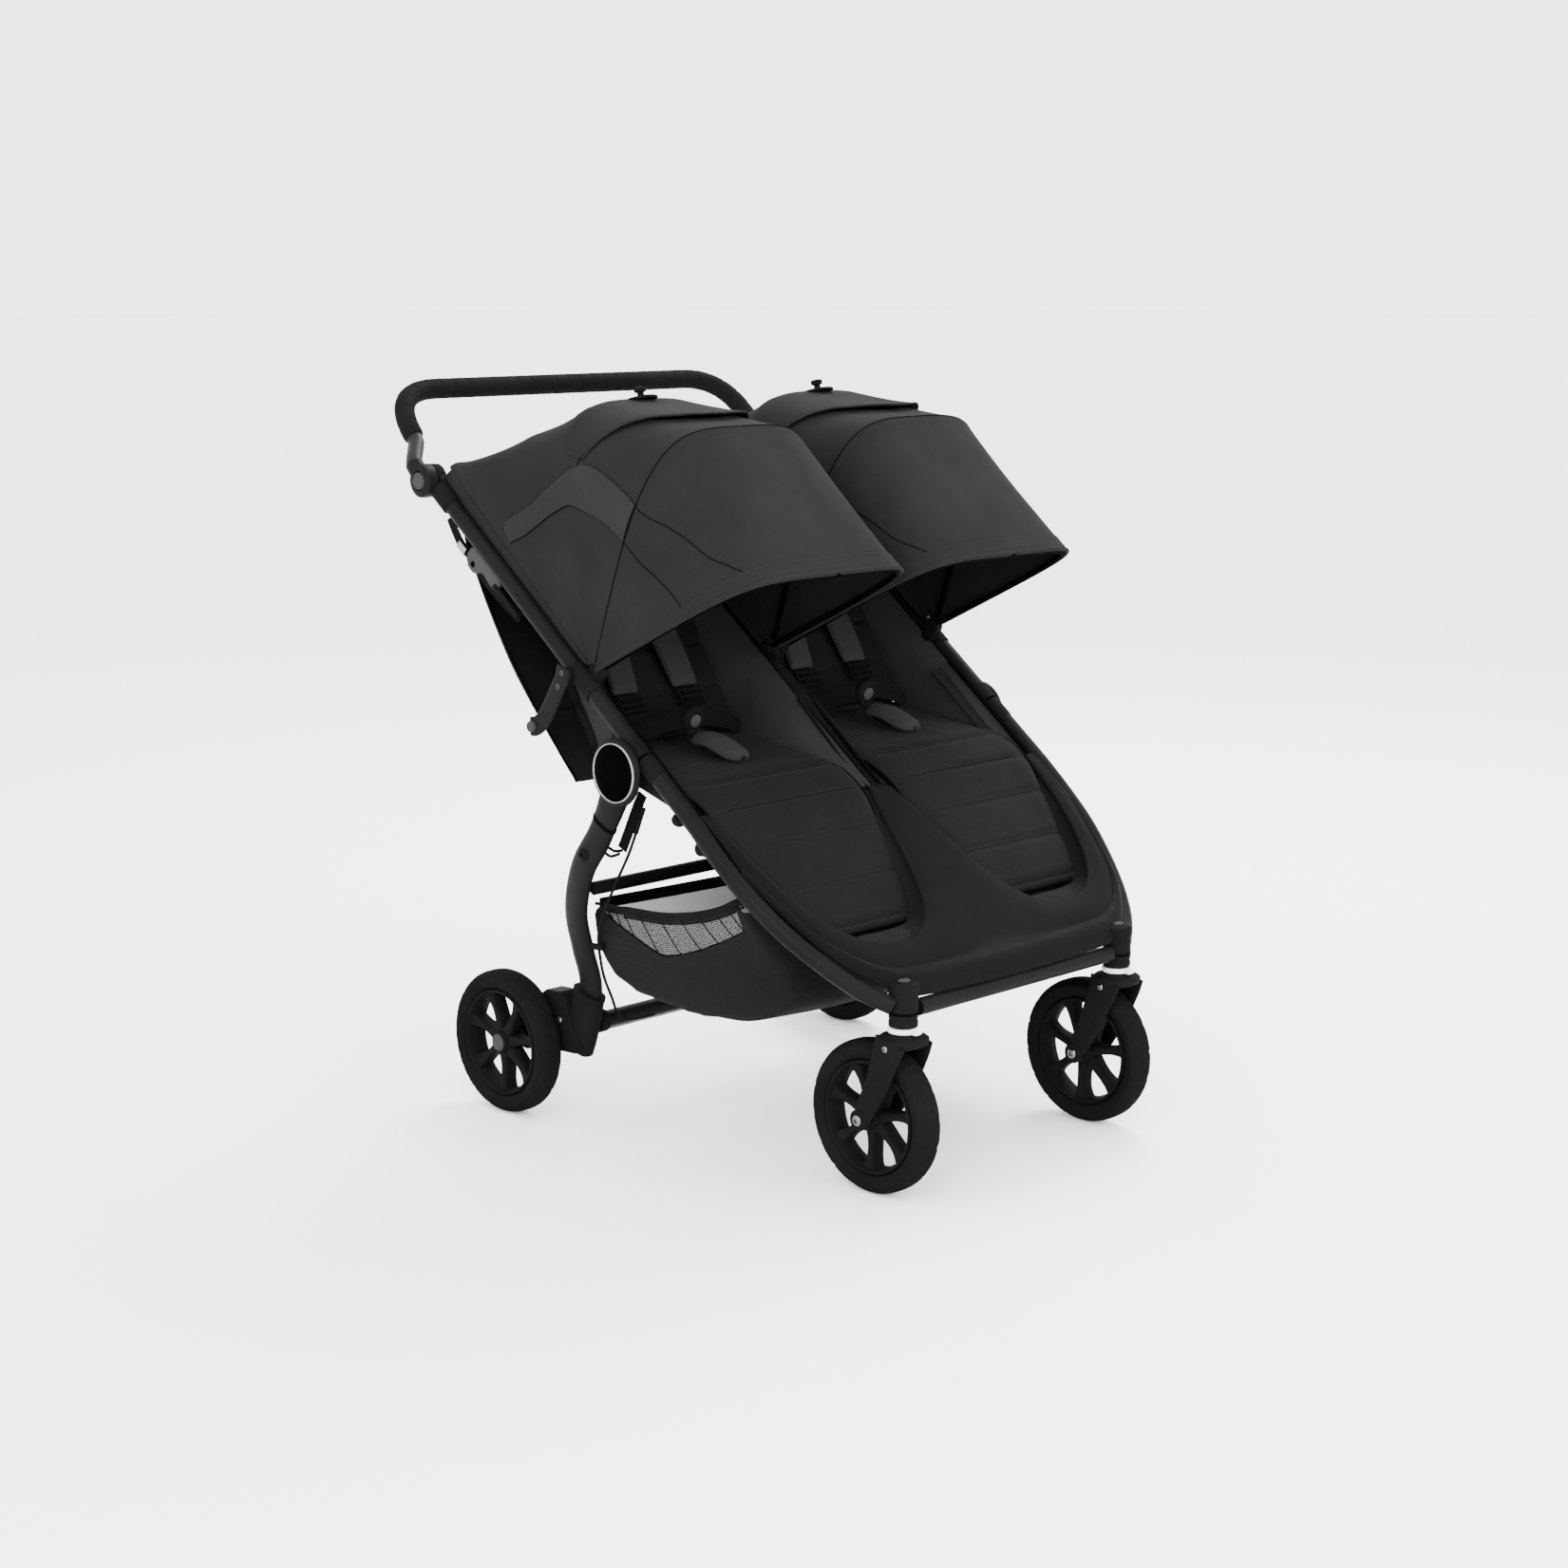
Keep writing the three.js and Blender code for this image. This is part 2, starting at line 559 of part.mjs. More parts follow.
function upperCrossMembers() {
  const top = railPoint(0, RAIL_TOP - 60);
  const xEnd = RAIL_X - RAIL_R - 1;
  part('top_cross_tube', barX(-xEnd, xEnd, top.y, top.z - 8, 10, 12), FRAME);
  const low = railPoint(0, 74, RAIL_LIFT);
  const high = V(0, top.y - 16, top.z - 20);
  part('centre_rail', join(
    bar(low, high, 9, 12),
    plateX(link([CANOPY_PIVOT.y, CANOPY_PIVOT.z, 7], [CANOPY_PIVOT.y + 12, CANOPY_PIVOT.z - 18, 7]), -8, 8),
  ), FRAME);
}

// ---- handlebar ----------------------------------------------------------
function handlebar() {
  const corner = 92;
  const up = Math.hypot(HANDLE.y - PIVOT.y, HANDLE.z - PIVOT.z);
  const dir = { y: (HANDLE.y - PIVOT.y) / up, z: (HANDLE.z - PIVOT.z) / up };
  const at = (x, h) => V(x, PIVOT.y + dir.y * h, PIVOT.z + dir.z * h);
  const hubX = RAIL_X + 14;
  const arm = (side) => [
    at(side * (hubX + 1), 14), at(side * (hubX + 1), 30), at(side * (HANDLE_X + 1), 62),
    ...new THREE.QuadraticBezierCurve3(
      at(side * HANDLE_X, up - corner), at(side * HANDLE_X, up), at(side * (HANDLE_X - corner), up),
    ).getPoints(5),
  ];
  const normal = V(0, -dir.z, dir.y);
  const bore = HANDLE_R - 3;
  const tube = sweep([...arm(-1), ...arm(1).reverse()], bore, bore, normal);
  const hubs = SIDES.map(([, side]) => barX(
    side * (RAIL_X + 4), side * (RAIL_X + 24), PIVOT.y, PIVOT.z, 25, 20));
  const wells = SIDES.map(([, side]) => barX(
    side * (RAIL_X + 14), side * (RAIL_X + 30), PIVOT.y, PIVOT.z, 13.5, 16));
  part('handlebar', cut(join(tube, ...hubs), ...wells), FRAME);
  const gripEnd = HANDLE_X - corner;
  part('handlebar_grip', cut(
    barX(-gripEnd, gripEnd, HANDLE.y, HANDLE.z, HANDLE_R, 16),
    barX(-gripEnd - 5, gripEnd + 5, HANDLE.y, HANDLE.z, bore + GAP, 16),
  ), RUBBER);
  for (const [name, side] of SIDES) {
    part(`tilt_button_${name}`, barX(
      side * (RAIL_X + 19), side * (RAIL_X + 26), PIVOT.y, PIVOT.z, 12.5, 16), GREY);
  }
}

// ---- brake lever --------------------------------------------------------
const LEVER = { y: 464, z: 681 }; // hinge of the parking brake lever

function brakeLever() {
  const x = -(RAIL_X + RAIL_R + 11.5);
  const curve = spline([
    V(x, LEVER.y, LEVER.z), V(x, LEVER.y + 16, LEVER.z - 26), V(x, LEVER.y + 34, LEVER.z - 60),
    V(x, LEVER.y + 62, LEVER.z - 80),
  ]);
  const strap = sweep(curve.getPoints(8), 2, 11);
  const boss = barX(-(RAIL_X + RAIL_R + 1), x, LEVER.y, LEVER.z, 11, 16);
  part('brake_lever', join(strap, boss), PLASTIC);
}

// ---- canopies -----------------------------------------------------------
const HOOP_TRIM = 0.03;          // share of the arch left out at each foot

/** Point of a canopy arch, t running 0..1 from one foot to the other. */
function arch(x, { angle, reach, square }, half, t) {
  const w = Math.PI * t;
  const power = 2 / square;
  const scale = (Math.abs(Math.cos(w)) ** power + Math.sin(w) ** power) ** (-1 / power);
  const h = reach * Math.sin(w) * scale;
  return V(x - half * Math.cos(w) * scale,
    CANOPY_PIVOT.y + h * Math.cos(rad(angle)), CANOPY_PIVOT.z + h * Math.sin(rad(angle)));
}

function hoop(nodeName, x, section, eyeIn) {
  const half = CANOPY_W;
  const steps = 16;
  const tilt = rad(section.angle);
  const normal = V(0, -Math.sin(tilt), Math.cos(tilt));
  const points = Array.from({ length: steps + 1 }, (_, i) =>
    arch(x, section, half, HOOP_TRIM + (1 - 2 * HOOP_TRIM) * i / steps));
  const tube = sweep(points, HOOP_R, HOOP_R, normal, 6);
  const eyes = [-1, 1].map((s) => barX(x + s * (half - eyeIn), x + s * (half - eyeIn - 3.2),
    CANOPY_PIVOT.y, CANOPY_PIVOT.z, 6.5, 8));
  const stems = [-1, 1].map((s) => bar(
    V(x + s * (half - eyeIn - 1.6), CANOPY_PIVOT.y, CANOPY_PIVOT.z),
    arch(x, section, half, s < 0 ? HOOP_TRIM : 1 - HOOP_TRIM).lerp(points[s < 0 ? 1 : steps - 1], 0.05), 3, 6));
  part(nodeName, join(tube, ...eyes, ...stems), STEEL);
}

function canopyPanel(nodeName, x, rows) {
  const cols = 16;
  const trim = 0.02;
  const clear = HOOP_R + FABRIC + GAP;
  const grid = rows.map((row) => Array.from({ length: cols + 1 }, (_, j) =>
    arch(x, { ...row, reach: row.reach + clear }, CANOPY_W + clear, trim + (1 - 2 * trim) * j / cols)));
  const centre = (i) => arch(x, { ...rows[i], reach: rows[i].reach * 0.4 }, 0, 0.5);
  part(nodeName, shell(grid, (i, j) => centre(i).setX(x).sub(grid[i][j]).normalize().multiplyScalar(FABRIC)), CLOTH);
}

function canopy(name, side) {
  const x = side * CANOPY_X;
  hoop(`canopy_mid_hoop_${name}`, x, MID_HOOP, 0);
  hoop(`canopy_brim_hoop_${name}`, x, BRIM_HOOP, 7);
  const beside = (section, turn) => ({ ...section, angle: section.angle + turn });
  canopyPanel(`canopy_rear_cloth_${name}`, x, [
    REAR_EDGE, REAR_MIDDLE, RIDGE, TOP, beside(MID_HOOP, -0.3),
  ]);
  canopyPanel(`canopy_front_cloth_${name}`, x, [
    beside(MID_HOOP, 0.3), FRONT_SWELL, beside({ ...BRIM_HOOP, reach: BRIM_HOOP.reach + 1 }, -0.5),
  ]);
}

// ---- seat backs and harness --------------------------------------------
const RECLINE = { y: 462, z: 560 };
const BACK_ANGLE = 58;

function seatBack(name, side) {
  const x = side * CANOPY_X;
  const dir = V(0, Math.cos(rad(BACK_ANGLE)), Math.sin(rad(BACK_ANGLE)));
  const across = V(0, -dir.z, dir.y);
  const place = new THREE.Matrix4().makeBasis(V(1, 0, 0), dir, V(0, dir.z, -dir.y));
  place.setPosition(V(x, RECLINE.y, RECLINE.z).addScaledVector(dir, 188).addScaledVector(across, -8));
  part(`seat_back_${name}`, pad(150, 176, 22, 30, place), CLOTH);
}

function seatBackCover(name, side) {
  const x = side * CANOPY_X;
  const profile = [[486, 512], [578, 590], [674, 692], [732, 800]];
  const half = [150, 160, 160, 150];
  const grid = profile.map(([y, z], i) => [-1, -0.9, -0.5, 0, 0.5, 0.9, 1].map((u) =>
    V(x + u * half[i], y + 8 * (1 - u * u) - (Math.abs(u) > 0.95 ? 26 : 0), z + (Math.abs(u) > 0.95 ? 22 : 0))));
  part(`seat_back_cover_${name}`, shell(grid, () => V(0, -1.7, 1.7)), CLOTH);
}

function buckle(name, side) {
  const x = side * CANOPY_X;
  const dir = V(0, -0.25, 0.968);
  const base = V(x, 425, 572);
  const centre = base.clone().addScaledVector(dir, 30);
  const front = V(0, -dir.z, dir.y);
  const along = (d) => centre.clone().addScaledVector(front, d);
  const body = join(bar(along(-7), along(7), 20, 20), bar(base, centre, 9, 8));
  part(`buckle_${name}`, cut(body, bar(along(1), along(12), 11, 16)), PLASTIC);
  part(`buckle_button_${name}`, bar(along(3.5), along(9), 10.2, 16), GREY);
}

// ---- assembly -----------------------------------------------------------
for (const [name, side] of SIDES) {
  caster(name, side);
  wheel(`rear_${name}`, side * REAR_WHEEL_X, REAR_AXLE_Y);
  casterHousing(name, side);
  frontRail(name, side);
  seatPad(name, side);
  rearLeg(name, side);
  hubCover(name, side);
  wheelBracket(name, side);
  upperRail(name, side);
  pivotHousing(name, side);
  canopy(name, side);
  seatBack(name, side);
  seatBackCover(name, side);
  buckle(name, side);
}
part('front_cross_tube', barX(-204, 204, CASTER_Y - 4, 267, 12, 12), FRAME);
footwellPanel();
seatCrossTube();
basket();
rearCrossMembers();
brakeCable();
upperCrossMembers();
handlebar();
brakeLever();

export default model;
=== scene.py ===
# Side-by-side double stroller: the visible model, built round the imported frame.
import math

import bmesh
import bpy
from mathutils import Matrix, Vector, noise


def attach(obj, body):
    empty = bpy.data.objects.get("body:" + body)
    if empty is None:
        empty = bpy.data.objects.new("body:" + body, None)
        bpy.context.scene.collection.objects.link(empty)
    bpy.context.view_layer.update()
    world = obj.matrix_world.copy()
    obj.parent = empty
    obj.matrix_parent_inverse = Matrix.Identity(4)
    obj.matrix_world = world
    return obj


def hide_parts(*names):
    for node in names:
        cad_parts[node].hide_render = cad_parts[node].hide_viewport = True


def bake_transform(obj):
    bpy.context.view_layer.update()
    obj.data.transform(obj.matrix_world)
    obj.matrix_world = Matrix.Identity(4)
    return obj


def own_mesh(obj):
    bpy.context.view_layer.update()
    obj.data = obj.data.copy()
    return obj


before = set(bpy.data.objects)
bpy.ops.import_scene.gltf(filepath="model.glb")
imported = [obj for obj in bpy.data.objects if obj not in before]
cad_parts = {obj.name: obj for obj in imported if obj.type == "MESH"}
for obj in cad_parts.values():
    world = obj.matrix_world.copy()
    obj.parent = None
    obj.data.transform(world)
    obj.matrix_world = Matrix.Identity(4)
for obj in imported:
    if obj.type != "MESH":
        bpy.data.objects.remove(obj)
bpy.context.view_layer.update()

# ---- dimensions: millimetres, lengths along Y from the front axle line --------------
ORIGIN_Y = 409.5
WHEEL_R = 108
RIM_R = 80
FRONT_X, REAR_X, REAR_Y, CASTER_Y = 227.5, 358, 637, -50
RAIL_X, RAIL_R, RAIL_LIFT = 360, 12.5, 40
SLOPE = math.radians(37.6)
HUB = (357, 556)
PIVOT = (789, 936)
HANDLE = (912, 1063)
HANDLE_X, HANDLE_CORNER = 346, 92
SEAT_X = 181
HOOP_W = 171
CLOTH_OUT, CLOTH_IN = 346.5, 9    # where cloth meets the side rail and the middle rail
STITCH_SHARE = 0.62
CANOPY = (428, 688)
# canopy bows from the rear edge to the brim: angle, reach from the pivot, squareness
BOWS = [(39.6, 421, 0.08), (57, 378, 0.36), (75, 376, 0.5), (109, 353, 0.5), (154, 336, 0.34)]
RECLINE = (462, 560)
BACK_ANGLE = math.radians(58)
SIDES = (("left", -1), ("right", 1))
X = Vector((1, 0, 0))
UP = Vector((0, 0, 1))
# up along the side rails, and square to them away from the floor
ALONG = Vector((0, math.cos(SLOPE), math.sin(SLOPE)))
ACROSS = Vector((0, -math.sin(SLOPE), math.cos(SLOPE)))
BACK_UP = Vector((0, math.cos(BACK_ANGLE), math.sin(BACK_ANGLE)))


def P(x, y, z):
    return Vector((x, y - ORIGIN_Y, z)) * 0.001


def rail(x, s, lift=RAIL_LIFT):
    """Point beside the side rails: s along the slope from the hub, lift across it."""
    c, n = math.cos(SLOPE), math.sin(SLOPE)
    return P(x, HUB[0] + s * c - lift * n, HUB[1] + s * n + lift * c)


def mix(a, b, t):
    return a + (b - a) * t


def yz(p):
    """A model point's y and z in millimetres from the front axle line."""
    return p.y * 1000 + ORIGIN_Y, p.z * 1000


def slope_share(y, z):
    """How far a point lies from the hub along the slope of the rails, in millimetres."""
    return (y - HUB[0]) * math.cos(SLOPE) + (z - HUB[1]) * math.sin(SLOPE)


def squared(angle, power, other=None):
    """Cosine and sine of an angle, pushed towards the corners by powers below 1."""
    c, s = math.cos(angle), math.sin(angle)
    return math.copysign(abs(c) ** power, c), math.copysign(abs(s) ** (other or power), s)


def walk(points, share):
    """Step number, remainder and point at a share of the way through a list of points."""
    place = share * (len(points) - 1)
    i = min(int(place), len(points) - 2)
    return i, place - i, points[i].lerp(points[i + 1], place - i)


def curve(points, per=8):
    """Smooth curve through points."""
    out = []
    last = len(points) - 1
    for i in range(last):
        p0, p1, p2, p3 = points[max(i - 1, 0)], points[i], points[i + 1], points[min(i + 2, last)]
        for k in range(per):
            t = k / per
            out.append(0.5 * (2 * p1 + (p2 - p0) * t + (2 * p0 - 5 * p1 + 4 * p2 - p3) * t * t
                              + (3 * p1 - p0 - 3 * p2 + p3) * t ** 3))
    out.append(points[-1])
    return out


# ---- materials ------------------------------------------------------------------------
def new_node(nodes, kind, inputs, **settings):
    """New shader node with its settings and inputs filled in."""
    node = nodes.new(kind)
    for name, value in settings.items():
        setattr(node, name, value)
    set_inputs(node, inputs)
    return node


def set_inputs(node, inputs):
    for name, value in inputs.items():
        node.inputs[name].default_value = value


def material(name, colour, rough, metal=0.0, coat=0.0, sheen=0.0, grain=900, bump=0.05,
             vary=0.12, weave=0, weave_uv=False, streak=False, shine=0.12, ior=1.08):
    """Procedural finish: a base colour broken up by noise, fine grain and an optional weave."""
    mat = bpy.data.materials.new(name)
    mat.use_nodes = True
    nodes, links = mat.node_tree.nodes, mat.node_tree.links
    shader = nodes["Principled BSDF"]
    set_inputs(shader, {"Metallic": metal, "Specular IOR Level": shine, "IOR": ior, "Coat Weight": coat,
                        "Coat Roughness": 0.12, "Sheen Weight": sheen, "Sheen Roughness": 0.45})
    where = nodes.new("ShaderNodeTexCoord")

    def node_noise(scale, detail=3, stretch=None):
        texture = new_node(nodes, "ShaderNodeTexNoise", {"Scale": scale, "Detail": detail})
        source = where.outputs["Object"]
        if stretch:
            mapping = new_node(nodes, "ShaderNodeMapping", {"Scale": stretch})
            links.new(source, mapping.inputs["Vector"])
            source = mapping.outputs["Vector"]
        links.new(source, texture.inputs["Vector"])
        return texture.outputs["Fac"]

    def ramp(source, low, high, a, b):
        node = new_node(nodes, "ShaderNodeMapRange",
                        {"From Min": low, "From Max": high, "To Min": a, "To Max": b})
        links.new(source, node.inputs["Value"])
        return node.outputs["Result"]

    def maths(kind, a, b):
        node = new_node(nodes, "ShaderNodeMath", {}, operation=kind)
        for socket, value in zip(node.inputs, (a, b)):
            if isinstance(value, (int, float)):
                socket.default_value = value
            else:
                links.new(value, socket)
        return node.outputs["Value"]

    blotch = ramp(node_noise(9, 4), 0.3, 0.7, 1 - vary, 1 + vary)
    fine = node_noise(grain, 2, (1, 1, 0.08) if streak else None)
    height = fine
    tone = maths("MULTIPLY", blotch, ramp(fine, 0.25, 0.75, 1 - vary / 2, 1 + vary / 2))
    if weave:
        bands = []
        for direction in ("X", "Y" if weave_uv else "Z"):
            wave = new_node(nodes, "ShaderNodeTexWave", {"Scale": weave, "Distortion": 0.6, "Detail": 1},
                            bands_direction=direction)
            links.new(where.outputs["UV" if weave_uv else "Object"], wave.inputs["Vector"])
            bands.append(wave.outputs["Fac"])
        cross = maths("MULTIPLY", bands[0], bands[1])
        height = maths("ADD", cross, maths("MULTIPLY", fine, 0.6))
        tone = maths("MULTIPLY", tone, ramp(cross, 0, 1, 0.8, 1.25))
    tint = new_node(nodes, "ShaderNodeMix", {"Factor": 1, "A": (*colour, 1)},
                    data_type="RGBA", blend_type="MULTIPLY")
    links.new(tone, tint.inputs["B"])
    links.new(tint.outputs["Result"], shader.inputs["Base Color"])
    links.new(ramp(node_noise(40, 4), 0.3, 0.7, rough - 0.06, min(rough + 0.08, 1)),
              shader.inputs["Roughness"])
    relief = new_node(nodes, "ShaderNodeBump", {"Strength": min(bump * 4, 1), "Distance": 0.0006})
    links.new(height, relief.inputs["Height"])
    links.new(relief.outputs["Normal"], shader.inputs["Normal"])
    return mat


FRAME = material("frame_paint", (0.00526, 0.00536, 0.00564), 0.36, grain=1400, bump=0.04,
                 shine=0.3, ior=1.1)
ARM = material("arm_paint", (0.00855, 0.008775, 0.009225), 0.4, coat=0.01, grain=1400, bump=0.04,
               shine=0.4, ior=1.14)
PLASTIC = material("black_moulding", (0.00473, 0.00473, 0.005), 0.5, grain=1100, bump=0.06)
# near-black finish: black parts such as the canopy hoop wires, and painted shade under the canopy's vent flap
# and in the latch plate's hole
BLACK_AND_SHADE = material("black_and_painted_shade", (0.0012, 0.0012, 0.0012), 0.8, grain=500, bump=0.02, shine=0.1)
GLOSS = material("gloss_black", (0.00064, 0.00064, 0.0008), 0.16, grain=300, bump=0.002,
                 vary=0.05, shine=0.03)
SILVER = material("silver_trim", (0.217, 0.22, 0.224), 0.2, metal=1.0, grain=900, bump=0.01, streak=True)
STEEL = material("plated_steel", (0.126, 0.126, 0.129), 0.3, metal=1.0, grain=1200, bump=0.02, streak=True)
WHITE = material("white_moulding", (0.75, 0.75, 0.73), 0.45, grain=900, bump=0.03, vary=0.04)
GREY = material("grey_moulding", (0.027, 0.0276, 0.0288), 0.42, grain=900, bump=0.04)
TYRE = material("tyre_rubber", (0.00435, 0.00435, 0.00465), 0.72, grain=700, bump=0.14, vary=0.2)
GRIP = material("grip_foam", (0.00495, 0.00495, 0.00539), 0.62, grain=1500, bump=0.12, vary=0.15)
STRIP = material("canopy_strip", (0.0128, 0.0131, 0.0138), 0.82, sheen=0.015, weave=230, weave_uv=True,
                 grain=800, bump=0.07)
CLOTH = material("canopy_cloth", (0.00938, 0.00952, 0.0101), 0.84, sheen=0.015, weave=230, weave_uv=True,
                 grain=800, bump=0.07)
PAD = material("seat_cloth", (0.00643, 0.00656, 0.00705), 0.8, sheen=0.015, weave=200, grain=700, bump=0.08)
# wing cloth lightened to stand in for the light and glossy highlights on the wings: painted light
WING_PAINTED_LIGHT = material("wing_cloth_painted_light", (0.0166, 0.017, 0.018), 0.74, sheen=0.015, weave=210, weave_uv=True,
                grain=700, bump=0.07)
PANEL = material("coated_panel", (0.00345, 0.00351, 0.0037), 0.52, sheen=0.015, grain=1300,
                 bump=0.05, vary=0.08)
WEBBING = material("webbing", (0.00324, 0.00324, 0.0036), 0.75, sheen=0.015, weave=330,
                   weave_uv=True, grain=900, bump=0.12)
THREAD = material("thread", (0.01215, 0.01234, 0.01309), 0.7, sheen=0.1, grain=2000, bump=0.05)
SEAM = material("seam_shadow", (0.00144, 0.00144, 0.001584), 0.9, grain=900, bump=0.03, shine=0.1)
LINING = material("basket_lining", (0.8, 0.8, 0.8), 0.8, sheen=0.015, weave=260, weave_uv=True,
                  grain=600, bump=0.05)
# pad cloth made lighter than the seat cloth to stand in for the light and highlights on the harness pads:
# painted light
PAD_PAINTED_LIGHT = material("pad_cloth_painted_light", (0.0161, 0.0162, 0.0168), 0.5, sheen=0.015, grain=900, bump=0.05)


def mesh_band_material():
    """Open knit: light lining seen between dark strands."""
    mat = material("basket_mesh", (0.2, 0.2, 0.2), 0.75, grain=900, bump=0.05)
    nodes, links = mat.node_tree.nodes, mat.node_tree.links
    where = next(n for n in nodes if n.bl_idname == "ShaderNodeTexCoord")
    cells = new_node(nodes, "ShaderNodeTexVoronoi", {"Scale": 330, "Randomness": 0.25})
    links.new(where.outputs["UV"], cells.inputs["Vector"])
    step = new_node(nodes, "ShaderNodeMapRange", {"From Min": 0.32, "From Max": 0.46})
    links.new(cells.outputs["Distance"], step.inputs["Value"])
    tint = new_node(nodes, "ShaderNodeMix", {}, data_type="RGBA")
    set_inputs(tint, {"A": (0.11, 0.112, 0.115, 1), "B": (0.011, 0.0112, 0.012, 1)})
    links.new(step.outputs["Result"], tint.inputs["Factor"])
    links.new(tint.outputs["Result"], nodes["Principled BSDF"].inputs["Base Color"])
    return mat


MESHWORK = mesh_band_material()


# ---- mesh helpers: each returns (points, faces, uvs or None) ------------------------------
def loft(rings, caps=True):
    """Skin over rings of points."""
    n = len(rings[0])
    points = [p for ring in rings for p in ring]
    faces = []
    for i in range(len(rings) - 1):
        for j in range(n):
            a, b = i * n + j, i * n + (j + 1) % n
            faces.append((a, b, b + n, a + n))
    if caps:
        faces.append(tuple(range(n))[::-1])
        faces.append(tuple((len(rings) - 1) * n + j for j in range(n)))
    return points, faces, None


def frames(points, across):
    """Each point of a path with two directions square to the path."""
    out = []
    last = len(points) - 1
    for i, p in enumerate(points):
        tangent = (points[min(i + 1, last)] - points[max(i - 1, 0)]).normalized()
        v = across.cross(tangent).normalized()
        out.append((p, tangent.cross(v).normalized(), v))
    return out


def tube(points, ra, rb=None, across=X, sides=24, power=1.0, swell=None):
    """Oval tube, its radii in mm. swell(t) scales the section, t running 0..1 along the tube."""
    rb = rb or ra
    rings = []
    last = len(points) - 1
    for i, (p, u, v) in enumerate(frames(points, across)):
        k = 0.001 * (swell(i / last) if swell else 1)
        ring = []
        for j in range(sides):
            c, s = squared(2 * math.pi * (j + 0.5) / sides, power)
            ring.append(p + u * (ra * k * c) + v * (rb * k * s))
        rings.append(ring)
    return loft(rings)


def lathe(profile, origin, axis=X, seg=48):
    """Profile of (radius, height) in mm about an axis through origin."""
    axis = axis.normalized()
    u = axis.orthogonal().normalized()
    v = axis.cross(u)
    rings = []
    for r, h in profile:
        centre = origin + axis * (h * 0.001)
        rings.append([centre + (u * math.cos(w) + v * math.sin(w)) * (max(r, 0.02) * 0.001)
                      for w in (2 * math.pi * k / seg for k in range(seg))])
    return loft(rings, caps=profile[0] != profile[-1])


def prism(outline, place, depth, bevel=1.2, segments=2):
    """Plate of a 2-D outline in mm with rounded rims; place maps its plane to the model."""
    bm = bmesh.new()
    base = [bm.verts.new((a, b, 0)) for a, b in outline]
    face = bm.faces.new(base)
    top = bmesh.ops.extrude_face_region(bm, geom=[face])
    moved = [g for g in top["geom"] if isinstance(g, bmesh.types.BMVert)]
    bmesh.ops.translate(bm, verts=moved, vec=(0, 0, depth))
    bmesh.ops.recalc_face_normals(bm, faces=bm.faces)
    rims = [e for e in bm.edges if abs(e.verts[0].co.z - e.verts[1].co.z) < 1e-6]
    bmesh.ops.bevel(bm, geom=rims, offset=bevel, segments=segments, affect="EDGES", clamp_overlap=True)
    bm.verts.index_update()
    points = [place(v.co) for v in bm.verts]
    faces = [tuple(v.index for v in f.verts) for f in bm.faces]
    bm.free()
    return points, faces, None


def side_plate(x0):
    """Places a y-z outline at x0, its thickness going along +X."""
    return lambda c: P(x0 + c.z, c.x, c.y)


def link(a, b, steps=14):
    """Outline round two circles (y, z, r)."""
    (y1, z1, r1), (y2, z2, r2) = a, b
    heading = math.atan2(z2 - z1, y2 - y1)
    lean = math.acos((r1 - r2) / math.hypot(y2 - y1, z2 - z1))
    points = []
    for y, z, r, start, end in ((y2, z2, r2, heading - lean, heading + lean),
                                (y1, z1, r1, heading + lean, heading + 2 * math.pi - lean)):
        for i in range(steps + 1):
            t = mix(start, end, i / steps)
            points.append((y + r * math.cos(t), z + r * math.sin(t)))
    return points


def shell_faces(n, m, flip=False):
    """Faces of a closed shell: n rows of m points on top, as many below, and the rim between."""
    total = n * m
    faces = []
    for i in range(n - 1):
        for j in range(m - 1):
            a = i * m + j
            faces.append((a, a + m, a + m + 1, a + 1))
            faces.append((total + a, total + a + 1, total + a + m + 1, total + a + m))
    rim = list(range(m)) + [(i + 1) * m - 1 for i in range(1, n)]
    rim += [(n - 1) * m + j for j in range(m - 2, -1, -1)] + [i * m for i in range(n - 2, 0, -1)]
    around = zip(rim, rim[1:] + rim[:1])
    if flip:
        return [f[:1] + f[:0:-1] for f in faces] + [(b, a, total + a, total + b) for a, b in around]
    return faces + [(a, b, total + b, total + a) for a, b in around]


def sheet(rows, thick):
    """Closed thin sheet on rows of points; uvs run in metres along it."""
    n, m = len(rows), len(rows[0])
    normals = []
    for i in range(n):
        for j in range(m):
            du = rows[min(i + 1, n - 1)][j] - rows[max(i - 1, 0)][j]
            dv = rows[i][min(j + 1, m - 1)] - rows[i][max(j - 1, 0)]
            normal = du.cross(dv)
            normals.append(normal.normalized() if normal.length > 1e-12 else UP)
    flat = [p for row in rows for p in row]
    points = flat + [p - nrm * (thick * 0.001) for p, nrm in zip(flat, normals)]
    uv = []
    mid = m // 2
    along = [0.0]
    for i in range(1, n):
        along.append(along[-1] + (rows[i][mid] - rows[i - 1][mid]).length)
    for i in range(n):
        across = [0.0]
        for j in range(1, m):
            across.append(across[-1] + (rows[i][j] - rows[i][j - 1]).length)
        uv += [(a - across[mid], along[i]) for a in across]
    return points, shell_faces(n, m), uv + uv


def declare_cloth(grids, width=None):
    """Works out the flat width and length of a cloth piece from the grids that it was made from; the result
    is not kept.
    """
    def run(points):
        return sum((b - a).length for a, b in zip(points, points[1:]))
    area = 0.0
    for rows in grids:
        for r, q in zip(rows, rows[1:]):
            for a, b, c, d in zip(r, r[1:], q[1:], q):
                area += ((c - a).cross(d - b)).length / 2
    width = width or max(run(r) for r in grids[0])
    length = max(max(run([r[j] for r in grids[0]]) for j in range(len(grids[0][0]))), area / width)


